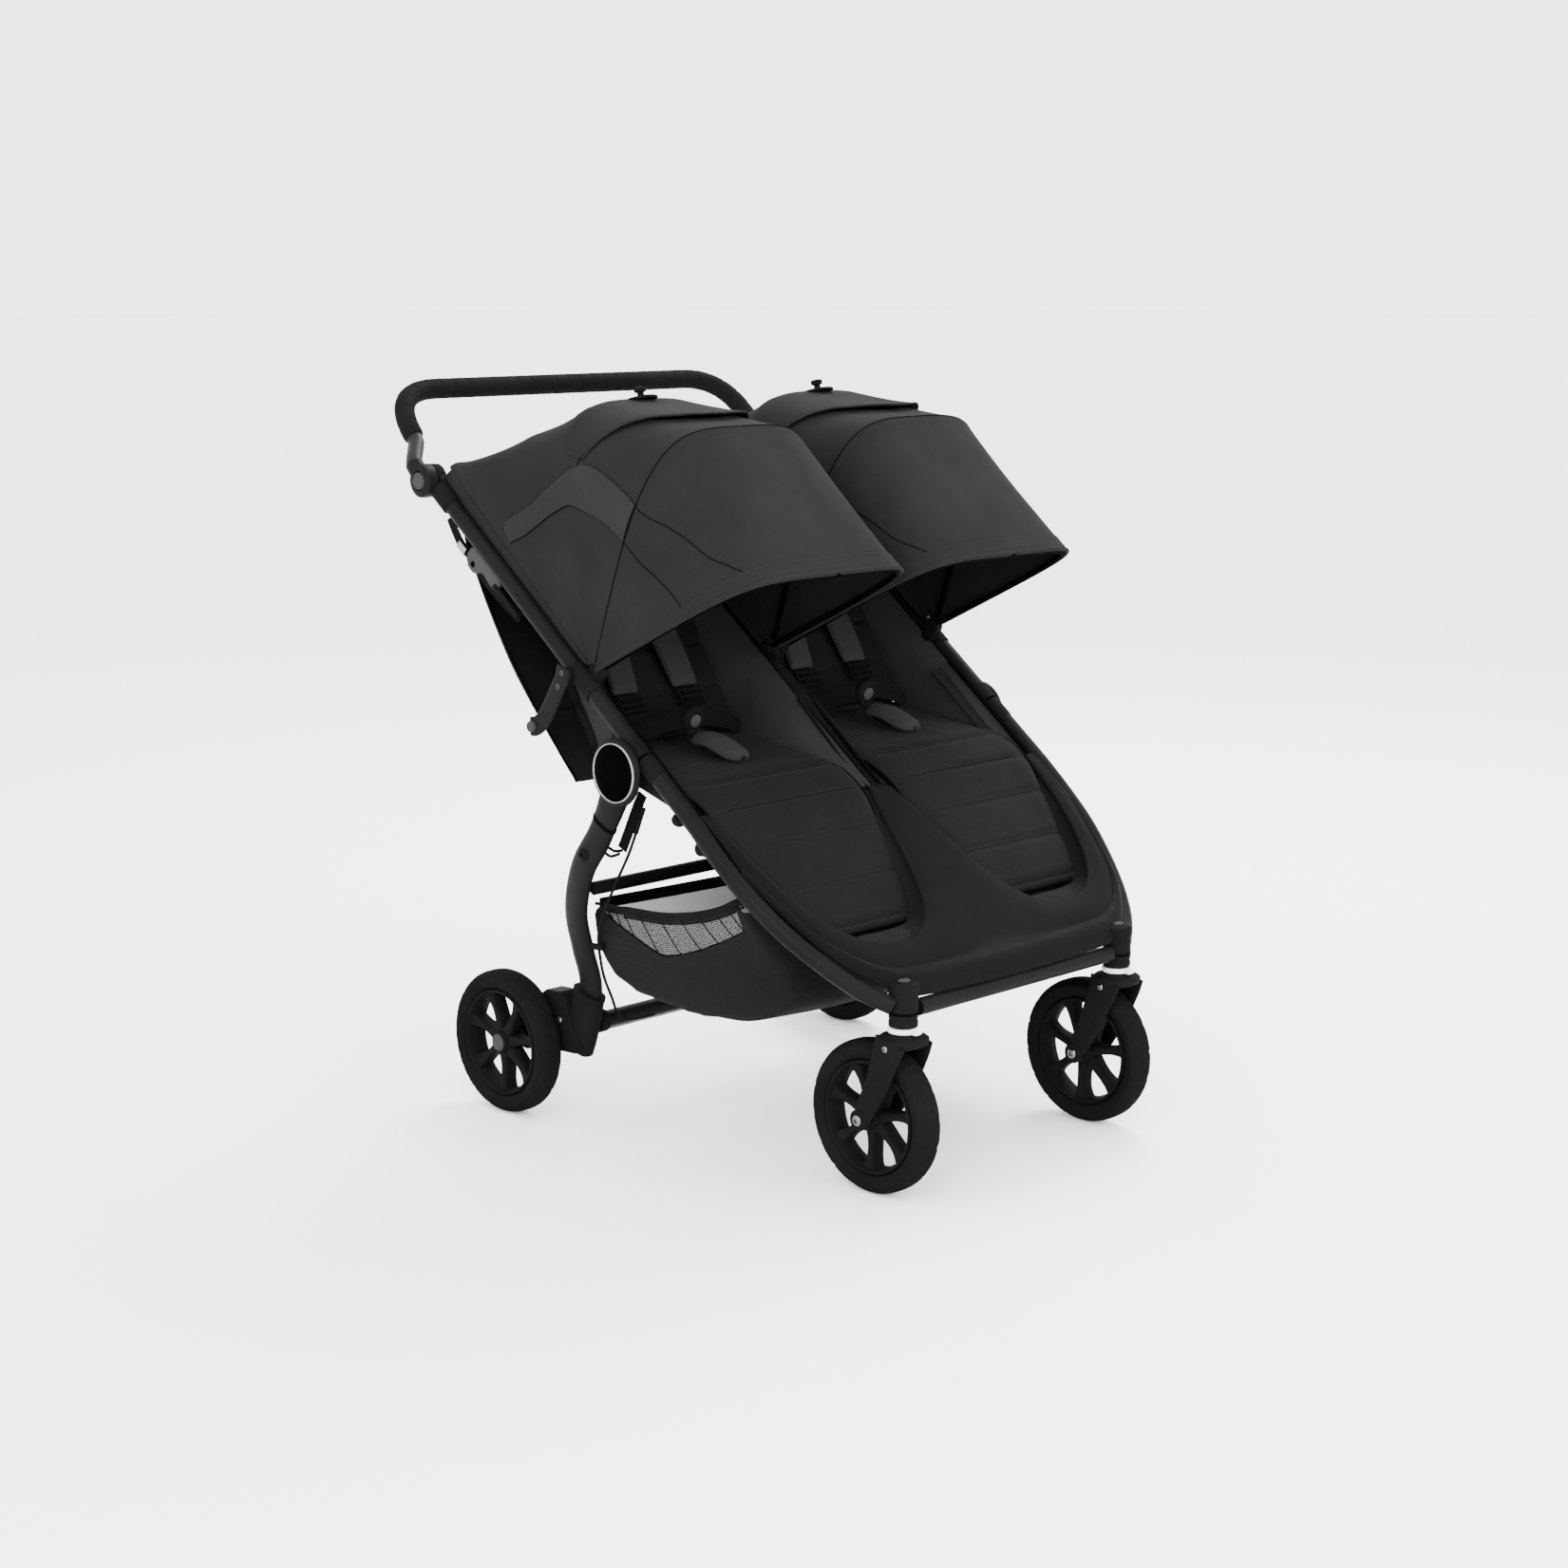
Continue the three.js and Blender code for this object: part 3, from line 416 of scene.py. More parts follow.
def strap(points, width, thick, side, fold=0.0):
    """Flat webbing along points; side is the direction of its width."""
    rows = []
    for p, u, v in frames(points, side):
        rows.append([p + u * (width * 0.001 * w) + v * (fold * 0.001 * (1 - 4 * w * w))
                     for w in (-0.5, -0.25, 0, 0.25, 0.5)])
    return sheet(rows, thick)


def stitches(path, pitch, size):
    """Row of thread stitches lying on a path, each filling STITCH_SHARE of the pitch."""
    points, faces = [], []
    spare = 0.0
    step = pitch * 0.001
    for a, b in zip(path, path[1:]):
        d = b - a
        span = d.length
        if span < 1e-9:
            continue
        d /= span
        u = d.orthogonal().normalized() * (size * 0.001)
        v = d.cross(u)
        at = spare
        while at < span:
            c = a + d * at
            half = d * (step * STITCH_SHARE / 2)
            k = len(points)
            points += [c - half, c + u, c + v, c - u, c - v, c + half]
            for q in range(4):
                r = (q + 1) % 4
                faces += [(k, k + 1 + r, k + 1 + q), (k + 5, k + 1 + q, k + 1 + r)]
            at += step
        spare = at - span
    return points, faces, None


class Piece:
    """A visible piece made of several shapes and finishes."""

    def __init__(self, name):
        self.name, self.points, self.faces, self.looks, self.mats, self.uvs = name, [], [], [], [], []

    def add(self, shape, look):
        points, faces, uvs = shape
        k = len(self.points)
        if look not in self.mats:
            self.mats.append(look)
        self.points += points
        self.uvs += uvs or [(p.x + 0.4 * p.y, p.z) for p in points]
        self.faces += [tuple(k + i for i in f) for f in faces]
        self.looks += [self.mats.index(look)] * len(faces)
        return self

    def sew(self, path, pitch=3.6, size=0.5):
        self.add(stitches(path, pitch, size), THREAD)

    def done(self, body, slot, nodes=(), sharp=38, hold=None):
        mesh = bpy.data.meshes.new(self.name)
        mesh.from_pydata(self.points, [], self.faces)
        for look in self.mats:
            mesh.materials.append(look)
        mesh.polygons.foreach_set("material_index", self.looks)
        layer = mesh.uv_layers.new(name="cloth")
        for loop in mesh.loops:
            layer.data[loop.index].uv = self.uvs[loop.vertex_index]
        bm = bmesh.new()
        bm.from_mesh(mesh)
        bmesh.ops.recalc_face_normals(bm, faces=bm.faces)
        bm.to_mesh(mesh)
        bm.free()
        mesh.shade_smooth()
        mesh.set_sharp_from_angle(angle=math.radians(sharp))
        obj = bpy.data.objects.new(self.name, mesh)
        bpy.context.collection.objects.link(obj)
        if nodes:
            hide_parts(*nodes)
        if hold:
            hold(obj)
        else:
            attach(obj, body)
        return obj


def bolt(centre, axis, r=5, h=3):
    """Domed screw head with a socket."""
    profile = [(0, -1), (r, -1), (r, h * 0.35), (r * 0.8, h * 0.8), (r * 0.5, h), (r * 0.45, h),
               (r * 0.42, h * 0.25), (0, h * 0.25)]
    return lathe(profile, centre, axis, 24)


# ---- wheels -------------------------------------------------------------------------------
def tyre_shape(x, y, z):
    """Foam tyre with a zigzag tread cut into its crown."""
    seg = 224
    section = [(RIM_R + rise, h) for rise, h in
               ((0.6, -14), (4, -17.5), (10, -20.6), (16, -21.6), (19, -21.2), (20, -20), (23, -17.8),
                (25.4, -14.6), (27, -11), (27.8, -7), (28, -3), (28, 0))]
    section += [(r, -h) for r, h in section[-2::-1]]
    points, faces = [], []
    n = len(section)
    for k in range(seg):
        w = 2 * math.pi * k / seg
        for r, h in section:
            if r > RIM_R + 22:
                zig = (k + 2.6 * abs((abs(h) % 8) - 4)) % 14
                if zig < 2.2 or abs(abs(h) - 9.2) < 0.1:
                    r -= 1.7
            elif RIM_R + 17 < r and (k % 7) < 2:
                r -= 1.1
            points.append(P(x + h, y + r * math.cos(w), z + r * math.sin(w)))
    for k in range(seg):
        for j in range(n):
            a, b = k * n + j, k * n + (j + 1) % n
            c, d = ((k + 1) % seg) * n + (j + 1) % n, ((k + 1) % seg) * n + j
            faces.append((a, b, c, d))
    return points, faces, None


def rim_shapes(x, y, z, outer):
    """Barrel, hub and seven flared blades. outer is the side that faces out."""
    centre = P(x, y, z)
    barrel = [(RIM_R - depth, h) for depth, h in
              ((0.2, -16), (0.2, 16), (1.5, 17.6), (4, 17.6), (5.5, 15), (7.5, 6), (8.5, 0), (7.5, -6),
               (5.5, -15), (4, -17.6), (1.5, -17.6), (0.2, -16))]
    yield lathe(barrel, centre, X, 96), PLASTIC
    hub = [(6.4, -19), (14, -19), (16.5, -17), (18, -8), (18, 8), (16.5, 17), (14, 19), (6.4, 19),
           (6.4, -19)]
    yield lathe(hub, centre, X, 40), PLASTIC
    for i in range(7):
        w = 2 * math.pi * (i + 0.3) / 7
        out = Vector((0, math.cos(w), math.sin(w)))
        turn = Vector((0, -math.sin(w), math.cos(w)))
        rings = []
        for k in range(11):
            t = k / 10
            r = mix(14, RIM_R - 5, t)
            half = 5.2 + 5.5 * (1 - t) ** 3 + 8.5 * t ** 5
            deep = mix(13, 11, t) + 2.5 * t ** 4
            dish = 3.0 * math.sin(math.pi * t)
            ring = []
            for j in range(12):
                c, s = squared(2 * math.pi * (j + 0.5) / 12, 0.5)
                ring.append(centre + (out * r + turn * (half * s)
                                      + X * (deep * c - outer * dish)) * 0.001)
            rings.append(ring)
        yield loft(rings), PLASTIC


def wheel(node, body, x, y, outer):
    Piece(f"tyre_{node}_tread").add(tyre_shape(x, y, WHEEL_R), TYRE).done(
        body, "tyre", [f"tyre_{node}"], sharp=50)
    piece = Piece(f"rim_{node}_spoked")
    for shape, look in rim_shapes(x, y, WHEEL_R, outer):
        piece.add(shape, look)
    piece.done(body, "moulded_plastic", [f"rim_{node}"])


# ---- casters ------------------------------------------------------------------------------
def caster(name, side):
    x = side * FRONT_X
    body = f"caster_{name}"
    fork = Piece(f"fork_{name}_moulding")
    for s in (-1, 1):
        rings = []
        path = curve([P(x + s * 27.5, CASTER_Y - 2, 227), P(x + s * 29.8, CASTER_Y + 4, 205),
                      P(x + s * 30, -28, 160), P(x + s * 30, -6, 118), P(x + s * 30, 2, 98)], 6)
        last = len(path) - 1
        for i, (p, _, v) in enumerate(frames(path, X)):
            t = i / last
            wide = mix(27, 15, min(t * 1.25, 1))
            if t >= 0.92:
                # rounded lower end
                wide = 15 * math.sqrt(max(1 - ((t - 0.92) / 0.085) ** 2, 0.05))
            ring = []
            for j in range(20):
                c, q = squared(2 * math.pi * (j + 0.5) / 20, 0.6, 0.75)
                ring.append(p + X * (0.0042 * c) + v * (0.001 * wide * q))
            rings.append(ring)
        fork.add(loft(rings), PLASTIC)
        fork.add(bolt(P(x + s * 33.5, CASTER_Y + 2, 218), X * s, 4.6, 2.4), STEEL)
        fork.add(lathe([(0, 0), (15, 0), (15, 2), (13.5, 3.2), (0, 3.2)],
                       P(x + s * 33.2, 0, WHEEL_R), X * s, 36), PLASTIC)
    rings = []
    for z, a, b, shift in ((218.6, 33, 31, 2), (224, 34, 33, 1), (229, 33, 32, 0), (233, 28, 27, 0),
                           (235.2, 21, 21, 0), (236, 18, 18, 0)):
        ring = []
        for j in range(40):
            c, q = squared(2 * math.pi * j / 40, 0.7, 0.8)
            ring.append(P(x + a * c, CASTER_Y + shift + b * q, z))
        rings.append(ring)
    fork.add(loft(rings), PLASTIC)
    fork.add(lathe([(0, 0), (5.8, 0), (5.8, 27), (0, 27)], P(x, CASTER_Y, 234), UP, 24), STEEL)
    fork.done(body, "moulded_plastic", [f"fork_{name}"])

    collar = Piece(f"swivel_ring_{name}")
    collar.add(lathe([(7.2, 0.6), (20, 0.6), (21.4, 1.8), (21.4, 6.2), (20, 7.6), (7.2, 7.6), (7.2, 0.6)],
                     P(x, CASTER_Y, 236), UP, 48), WHITE)
    tab = prism([(-6, -29), (6, -29), (7.5, -20), (-7.5, -20)],
                lambda c: P(x + c.x, CASTER_Y + c.y, 237 + c.z), 6, 1.4)
    collar.add(tab, WHITE)
    collar.done(f"swivel_lock_{name}", "white_plastic", [f"swivel_lock_{name}"])

    axle = Piece(f"front_axle_{name}_bolt")
    axle.add(lathe([(0, -36), (5.4, -36), (5.4, 36), (0, 36)], P(x, 0, WHEEL_R), X, 24), STEEL)
    for s in (-1, 1):
        axle.add(bolt(P(x + s * 36.6, 0, WHEEL_R), X * s, 7.5, 3.4), STEEL)
    axle.done(body, "steel", [f"front_axle_{name}"])
    wheel(f"front_{name}", f"wheel_front_{name}", x, 0, side)


def caster_housing(name, side):
    x = side * FRONT_X
    piece = Piece(f"caster_housing_{name}_moulding")
    profile = [(7.2, 0), (19, 0), (20.2, 1.5), (20.2, 8), (19.2, 9), (19.2, 11), (20.2, 12),
               (20.6, 46), (21.8, 49), (22, 52), (22, 56), (20.6, 60), (16, 62), (0, 62.4), (0, 62.4)]
    piece.add(lathe(profile, P(x, CASTER_Y, 245), UP, 56), PLASTIC)
    piece.add(lathe([(0, 0), (9, 0), (9, 1.6), (7.6, 2.8), (0, 3)], P(x, CASTER_Y, 306.6), UP, 32), GREY)
    piece.add(lathe([(20.3, 0), (20.9, 0.6), (20.9, 3.4), (20.3, 4)], P(x, CASTER_Y, 262), UP, 56), BLACK_AND_SHADE)
    piece.done("front_frame", "moulded_plastic", [f"caster_housing_{name}"])


# ---- front frame --------------------------------------------------------------------------
def rail_bend(side):
    """Lower part of a front rail, turning in to the caster."""
    return curve([rail(side * RAIL_X, -150), P(side * 360, 168, 457), P(side * 354, 116, 413),
                  P(side * 337, 65, 369), P(side * 311, 17, 330), P(side * 281, -20, 298),
                  P(side * 247, -46, 276)], 8)


def front_rail(name, side):
    x = side * RAIL_X
    bend = rail_bend(side)
    start = [mix(rail(x, -20), rail(x, -150), k / 8) for k in range(8)]
    piece = Piece(f"front_rail_{name}_tube").add(tube(start + bend, RAIL_R, sides=32), FRAME)
    piece.add(tube([rail(x, -20.5), rail(x, -30), rail(x, -56)], RAIL_R + 1.1, sides=32), PLASTIC)
    plate = link((*HUB, 15), (*yz(rail(0, -85, 28)), 10))
    piece.add(prism(plate, side_plate(side * (RAIL_X - 7) - 3), 6, 1), FRAME)
    # press stud that holds the leg rest's strap, under the near end of the seat
    stud = rail(x, -118, RAIL_LIFT - RAIL_R - 3)
    piece.add(lathe([(0, -3), (9, -3), (10, 0), (10, 5), (8, 8), (0, 8.6)], stud, -ACROSS, 32), PLASTIC)
    piece.done("front_frame", "frame", [f"front_rail_{name}"])


def cross_tubes():
    tube_line = [P(x, CASTER_Y - 4, 267) for x in range(-204, 205, 34)]
    Piece("front_cross_tube_oval").add(tube(tube_line, 12, 12, UP, 28), FRAME).done(
        "front_frame", "frame", ["front_cross_tube"])
    p = rail(0, -170, 17.1)
    cheek = rail(0, -170, 30)
    y, z = yz(p)
    seat = Piece("seat_cross_tube_round")
    seat.add(tube([P(x, y, z) for x in range(-356, 357, 89)], 10, sides=24, across=UP), FRAME)
    for s in (-1, 1):
        ends = link((y, z, 13), (*yz(cheek), 8))
        seat.add(prism(ends, side_plate(min(s * 343.1, s * 347.1)), 4, 1), FRAME)
        seat.add(lathe([(0, 0), (9.6, 0), (9, 1.6), (0, 2)], P(s * 356, y, z), X * s, 28), PLASTIC)
    seat.done("front_frame", "frame", ["seat_cross_tube"])


def bezier(corners, t):
    a, b, c, d = corners
    k = 1 - t
    return tuple(k ** 3 * a[i] + 3 * k * k * t * b[i] + 3 * k * t * t * c[i] + t ** 3 * d[i] for i in (0, 1))


INNER_EDGE = ((20, 320), (SEAT_X - 117, 180), (SEAT_X - 116, 58), (SEAT_X, 58))
OUTER_EDGE = ((SEAT_X, 58), (SEAT_X + 104, 58), (322, 200), (333, 330))


def opening_x(v):
    """Inner and outer edges of a leg opening at height v up the footwell panel."""
    out = []
    for corners, falling in ((INNER_EDGE, True), (OUTER_EDGE, False)):
        low, high = 0.0, 1.0
        for _ in range(18):
            mid = (low + high) / 2
            above = bezier(corners, mid)[1] > v
            if above == falling:
                low = mid
            else:
                high = mid
        out.append(bezier(corners, low)[0])
    return out


def panel_edges(samples=28):
    """Columns of the footwell panel: (u, low v, high v) from one side to the other."""
    def low(u):
        u = abs(u)
        if u < 196:
            return 16 - 6 * (1 - (u / 196) ** 2)
        if u < 294:
            return 16 + 60 * ((u - 196) / 98) ** 2.2
        return 76 + 124 * ((u - 294) / 46) ** 1.4
    half = [(0, 322), (10, 321), (20, 320)]
    half += [bezier(INNER_EDGE, k / samples) for k in range(1, samples + 1)]
    half += [bezier(OUTER_EDGE, k / samples) for k in range(1, samples)]
    half += [(333, 330), (339, 331), (344, 331), (349, 331)]
    columns = [(-u, v) for u, v in half[::-1]] + half[1:]
    return [(u, min(low(u), v - 4), v) for u, v in columns]


def panel_point(u, v, rise=0.0):
    """Point of the footwell panel: u across it, v up it, rise above its plane."""
    foot = rail(0, -470)
    return foot + X * (u * 0.001) + ALONG * (v * 0.001) + ACROSS * ((5 + rise) * 0.001)


def footwell():
    columns = panel_edges()
    rows = []
    steps, curl = 14, 7
    for i in range(-curl, steps + 1):
        t = max(i, 0) / steps
        row = []
        for u, low, high in columns:
            v = mix(low, high, t)
            swell = 2.4 * math.sin(math.pi * t) + 0.7 * noise.noise(Vector((u * 0.012, v * 0.02, 3)))
            p = panel_point(u, v, swell)
            if i < 0:
                # the front edge rolls over and down on to the cross tube
                turn = -i / curl * 1.75
                reach = 26 if abs(u) < 200 else max(26 - (abs(u) - 200) * 0.12, 9)
                p += Vector((0, -math.sin(turn) * reach, (math.cos(turn) - 1) * reach)) * 0.001
            row.append(p)
        rows.append(row)
    piece = Piece("footwell_panel_coated").add(sheet(rows, 3.2), PANEL)
    upper = [panel_point(u, high, 0.4) for u, low, high in columns]
    piece.add(tube(upper, 2.6, sides=10, across=ACROSS), PANEL)
    piece.add(tube(rows[0], 2.0, sides=10, across=ACROSS), PANEL)
    for inset in (9, 13):
        line = [panel_point(u, max(high - inset, low + 2), 2.4) for u, low, high in columns
                if 26 < abs(u) < 326]
        split = len(line) // 2
        piece.sew(line[:split], 4)
        piece.sew(line[split:], 4)
    obj = piece.done("front_frame", "coated_panel", ["footwell_panel"], sharp=60)
    declare_cloth([rows], width=0.69)


# ---- padded pieces --------------------------------------------------------------------------
CHANNEL = 4.2        # half width of a sewn channel, mm
SEAM_GAP = 3.4       # from a channel's middle to the stitching beside it, mm
END_PULL = 0.03      # how far the sides of a pad pull in near its ends


def cushion(at, across, along, thick, seams, deep=0.55, nu=40, nv=90, cross_seams=()):
    """Crowned closed pad. at(u, v) gives (point, normal) for u in -1..1 and v in 0..1."""
    top, bottom = [], []
    for i in range(nv + 1):
        v = i / nv
        end = min(v, 1 - v)
        for j in range(nu + 1):
            u = -1 + 2 * j / nu
            tuck = 1 - END_PULL * math.sin(math.pi * min(end * 6, 1)) * 0.5
            p, normal = at(u * tuck, v)
            crown = (1 - abs(u) ** 7) ** 0.5 * min(1, (end * along / (0.9 * thick)) ** 0.5 if end > 0 else 0)
            gaps = [(v - s) * along for s in seams] + [(u - s) * across for s in cross_seams]
            groove = sum(math.exp(-(d / CHANNEL) ** 2) for d in gaps)
            puff = 1 - deep * min(groove, 1)
            ripple = 0.35 * noise.noise(Vector((u * across * 0.02, v * along * 0.045, across)))
            top.append(p + normal * ((0.5 * thick * crown * puff + ripple * crown) * 0.001))
            bottom.append(p - normal * (0.42 * thick * crown * 0.001))
    return top + bottom, shell_faces(nv + 1, nu + 1, flip=True), None


def seam_lines(at, thick, along, seams, deep, span=0.93):
    """Lines of the double stitching beside each sewn channel."""
    for s in seams:
        for d in (-SEAM_GAP, SEAM_GAP):
            v = s + d / along
            line = []
            for k in range(61):
                u = mix(-span, span, k / 60)
                p, normal = at(u, v)
                puff = 1 - deep * math.exp(-(d / CHANNEL) ** 2)
                line.append(p + normal * ((0.5 * thick * (1 - abs(u) ** 7) ** 0.5 * puff + 0.25) * 0.001))
            yield line


def pad_spine(side):
    """Middle line of a seat pad from the back to the foot rest, and its half widths."""
    x = side * SEAT_X
    profile = [(470, 562, 148), (440, 556, 150), (390, 549, 152), (330, 541, 154), (262, 528, 152),
               (214, 503, 149), (178, 464, 144), (140, 422, 134), (100, 382, 120), (66, 347, 102)]
    return (curve([P(x, y, z) for y, z, _ in profile], 12),
            curve([Vector((w, 0, 0)) for _, _, w in profile], 12))


def seat_pad(name, side):
    spine, widths = pad_spine(side)
    last = len(spine) - 1
    length = sum((b - a).length for a, b in zip(spine, spine[1:])) * 1000

    def at(u, v):
        i, t, p = walk(spine, v)
        d = (spine[min(i + 2, last)] - spine[max(i - 1, 0)]).normalized()
        normal = Vector((0, d.z, -d.y))
        w = mix(widths[i].x, widths[i + 1].x, t)
        sag = 7 * (1 - u * u) * math.sin(math.pi * min(v * 2.1, 1))
        tuck = 16 * max(abs(u) - 0.8, 0) / 0.2 * max(v - 0.45, 0)
        return p + X * (u * w * 0.001) - normal * ((sag + tuck) * 0.001), normal
    seams = (0.42, 0.545, 0.675, 0.825, 0.965)
    piece = Piece(f"seat_pad_{name}_quilted")
    piece.add(cushion(at, 150, length, 20, seams, deep=0.62), PAD)
    for line in seam_lines(at, 20, length, seams, 0.62):
        piece.sew(line)
    edge = [at(-1, k / 60)[0] for k in range(61)] + [at(mix(-1, 1, k / 30), 1)[0] for k in range(1, 30)]
    edge += [at(1, 1 - k / 60)[0] for k in range(61)]
    piece.add(tube(edge, 2.2, sides=8, across=Vector((0.01, -0.6, 0.8))), SEAM)
    obj = piece.done("front_frame", "cloth", [f"seat_pad_{name}"], sharp=75)


def seat_sling(name, side):
    """Cloth under a seat, hung between the side rail, the middle and the leg opening."""
    spine = pad_spine(side)[0]
    rows = []
    steps, cols = 44, 36
    first, end = 74.0, -411.0
    for i in range(steps + 1):
        s = mix(first, end, i / steps)
        if s > -142:
            inner, outer, lift = 3.0, CLOTH_OUT, 39.0
        else:
            inner, outer = opening_x(max(s + 470, 59))
            inner, outer, lift = inner - 5, outer + 5, 43.0
        edge = rail(0, s, lift)
        spot = min(spine, key=lambda p: abs(slope_share(*yz(p)) - s))
        under = Vector((0, spot.y, spot.z)) - Vector((0, -0.007, 0.012))
        if s < -350:
            under = mix(under, edge, min((-350 - s) / 58, 1) ** 2)
        row = []
        for j in range(cols + 1):
            u = -1 + 2 * j / cols
            x = side * mix(inner, outer, (u + 1) / 2)
            k = abs(u) ** 7
            p = mix(under, edge, k)
            wrinkle = 1.6 * noise.noise(Vector((u * 3, s * 0.02, side * 4))) * (1 - k)
            row.append(Vector((x * 0.001, p.y, p.z + wrinkle * 0.001)))
        rows.append(row)
    piece = Piece(f"seat_sling_{name}").add(sheet(rows, 1.4), PAD)
    # piping that closes the cloth against the side rail
    straight = [mix(rail(side * RAIL_X, first), rail(side * RAIL_X, -150), k / 16) for k in range(16)]
    edge = straight + rail_bend(side)[:31]
    welt = [p - X * (side * 0.0145) + ACROSS * 0.0035 for p in edge]
    piece.add(tube(welt, 5.2, 4, sides=12), SEAM)
    profile = ((0.005, -0.012), (0.014, -0.0105), (0.024, -0.012), (0.034, -0.014), (0.044, -0.017))
    backing = [[p - X * (side * d) + ACROSS * h for d, h in profile] for p in edge]
    piece.add(sheet(backing, 1.4), PAD)
    obj = piece.done("front_frame", "cloth", sharp=70)
    declare_cloth([rows, backing])


def seat_back(name, side):
    normal = Vector((0, -BACK_UP.z, BACK_UP.y))
    base = P(side * SEAT_X, *RECLINE) + BACK_UP * 0.012

    def at(u, v):
        w = 146 - 10 * v ** 3
        dish = 9 * (1 - u * u) * math.sin(math.pi * v)
        point = base + BACK_UP * (v * 0.352) + X * (u * w * 0.001)
        return point - normal * (dish * 0.001 + 0.004), normal
    seams = (0.2, 0.4, 0.6, 0.8)
    piece = Piece(f"seat_back_{name}_padded")
    piece.add(cushion(at, 146, 352, 24, seams, cross_seams=(-0.72, 0.72)), PAD)
    for line in seam_lines(at, 24, 352, seams, 0.55, span=0.7):
        piece.sew(line)
    obj = piece.done(f"seat_back_{name}", "cloth", [f"seat_back_{name}"], sharp=75)
    return at, normal


# ---- harness ----------------------------------------------------------------------------------
def harness(name, side, back):
    """Shoulder straps, lap belt and crotch strap; back is what seat_back returned."""
    at, normal = back
    x = side * SEAT_X
    body = f"seat_back_{name}"
    straps = Piece(f"shoulder_harness_{name}")
    for s in (-1, 1):
        line = []
        for k in range(13):
            v = mix(0.83, 0.2, k / 12)
            p, n = at(s * mix(0.3, 0.4, k / 12), v)
            line.append(p + n * (0.02 + 0.007 * math.sin(math.pi * k / 12)))
        pad = curve(line, 3)

        def place(u, v, pad=pad):
            wide = 27 * (0.86 + 0.14 * math.sin(math.pi * v) ** 0.5)
            return walk(pad, v)[2] + X * (u * wide * 0.001), normal
        # the shoulder pads use the lighter pad cloth: painted light where the pads catch the light
        straps.add(cushion(place, 27, 215, 12, (0.32, 0.66), deep=0.25, nu=16, nv=44), PAD_PAINTED_LIGHT)
        for edge in (-0.84, 0.84):
            line = [place(edge, k / 40)[0] + normal * 0.0042 for k in range(1, 40)]
            straps.sew(line, 3.4, 0.45)
        stud = [(0, 0), (6.5, 0), (7, 1.6), (5.5, 3), (2.5, 2.4), (0, 2.2)]
        straps.add(lathe(stud, place(0.1, 0.36)[0] + normal * 0.0062, normal, 28), GREY)
        # three-bar slider below the pad
        foot = place(0, 1)[0]
        for k in range(3):
            bar = foot - BACK_UP * (0.008 + 0.011 * k) + normal * 0.004
            straps.add(tube([bar + X * d for d in (-0.021, -0.007, 0.007, 0.021)], 2.6, 2.2, BACK_UP, 12),
                       PLASTIC)
        for e in (-1, 1):
            end = foot + X * (0.021 * e) + normal * 0.004
            straps.add(tube([end - BACK_UP * d for d in (0.004, 0.018, 0.033)], 2.6, 2.2, X, 12), PLASTIC)
        web = [foot + normal * 0.001, foot - BACK_UP * 0.03 + normal * 0.004]
        straps.add(strap(curve(web, 4), 25, 1.6, X), WEBBING)
        top = place(0, 0)[0]
        web = [top + BACK_UP * rise - normal * sink
               for rise, sink in ((0, 0.004), (0.02, 0.012), (0.034, 0.026))]
        straps.add(strap(curve(web, 5), 25, 1.6, X), WEBBING)
    straps.done(body, "cloth")

    low = Piece(f"lap_harness_{name}")
    buckle = P(x, 417, 601)
    forward = Vector((0, -0.968, -0.25))
    upward = Vector((0, -0.25, 0.968))
    profile = [(0, -8), (17, -8), (20, -5), (21, 0), (20, 5), (17.5, 7.4), (12, 7.8), (10.8, 6),
               (10.8, 3.4), (0, 3.4)]
    low.add(lathe(profile, buckle, forward, 40), PLASTIC)
    crotch = curve([P(x, 352, 556), P(x, 385, 566), P(x, 404, 579), buckle - upward * 0.016], 7)
    low.add(strap(crotch, 30, 2.2, X), WEBBING)
    for s in (-1, 1):
        hip = curve([P(x + s * out, y, z) for out, y, z in
                     ((18, 418, 602), (46, 428, 598), (92, 438, 586), (120, 446, 572))], 7)
        low.add(strap(hip, 26, 2.0, Vector((0, 0.25, 1))), WEBBING)
    low.done("front_frame", "moulded_plastic", [f"buckle_{name}"])
    button = Piece(f"buckle_button_{name}_domed")
    button.add(lathe([(0, 0), (9.8, 0), (9.8, 2.2), (8.2, 3.2), (0, 3.5)],
                     buckle + forward * 0.0062, forward, 36), GREY)
    button.done(f"buckle_button_{name}", "grey_plastic", [f"buckle_button_{name}"])

    # padded tongue over the crotch strap, lying forward on the seat
    tongue = Piece(f"crotch_pad_{name}")
    spine = curve([P(x, 404, 578), P(x + 2, 388, 580), P(x + 5, 366, 577), P(x + 9, 344, 568),
                   P(x + 14, 322, 558)], 6)
    last = len(spine) - 1

    def place(u, v):
        i, _, p = walk(spine, v)
        d = (spine[min(i + 2, last)] - spine[max(i - 1, 0)]).normalized()
        n = X.cross(d).normalized()
        n = n if n.z > 0 else -n
        width = 24 * max(1 - abs(2 * v - 1) ** 5, 0.02) ** 0.4
        return p + X * (u * width * 0.001) - n * (0.008 * u * u), n
    # lighter pad cloth here too: painted highlight on the crotch pad
    tongue.add(cushion(place, 24, 90, 12, (), nu=24, nv=34), PAD_PAINTED_LIGHT)
    for edge in (-0.82, 0.82):
        line = [p + n * 0.0045 for p, n in (place(edge, k / 30) for k in range(2, 29))]
        tongue.sew(line, 3.4, 0.45)
    tongue.done("front_frame", "cloth", sharp=75)


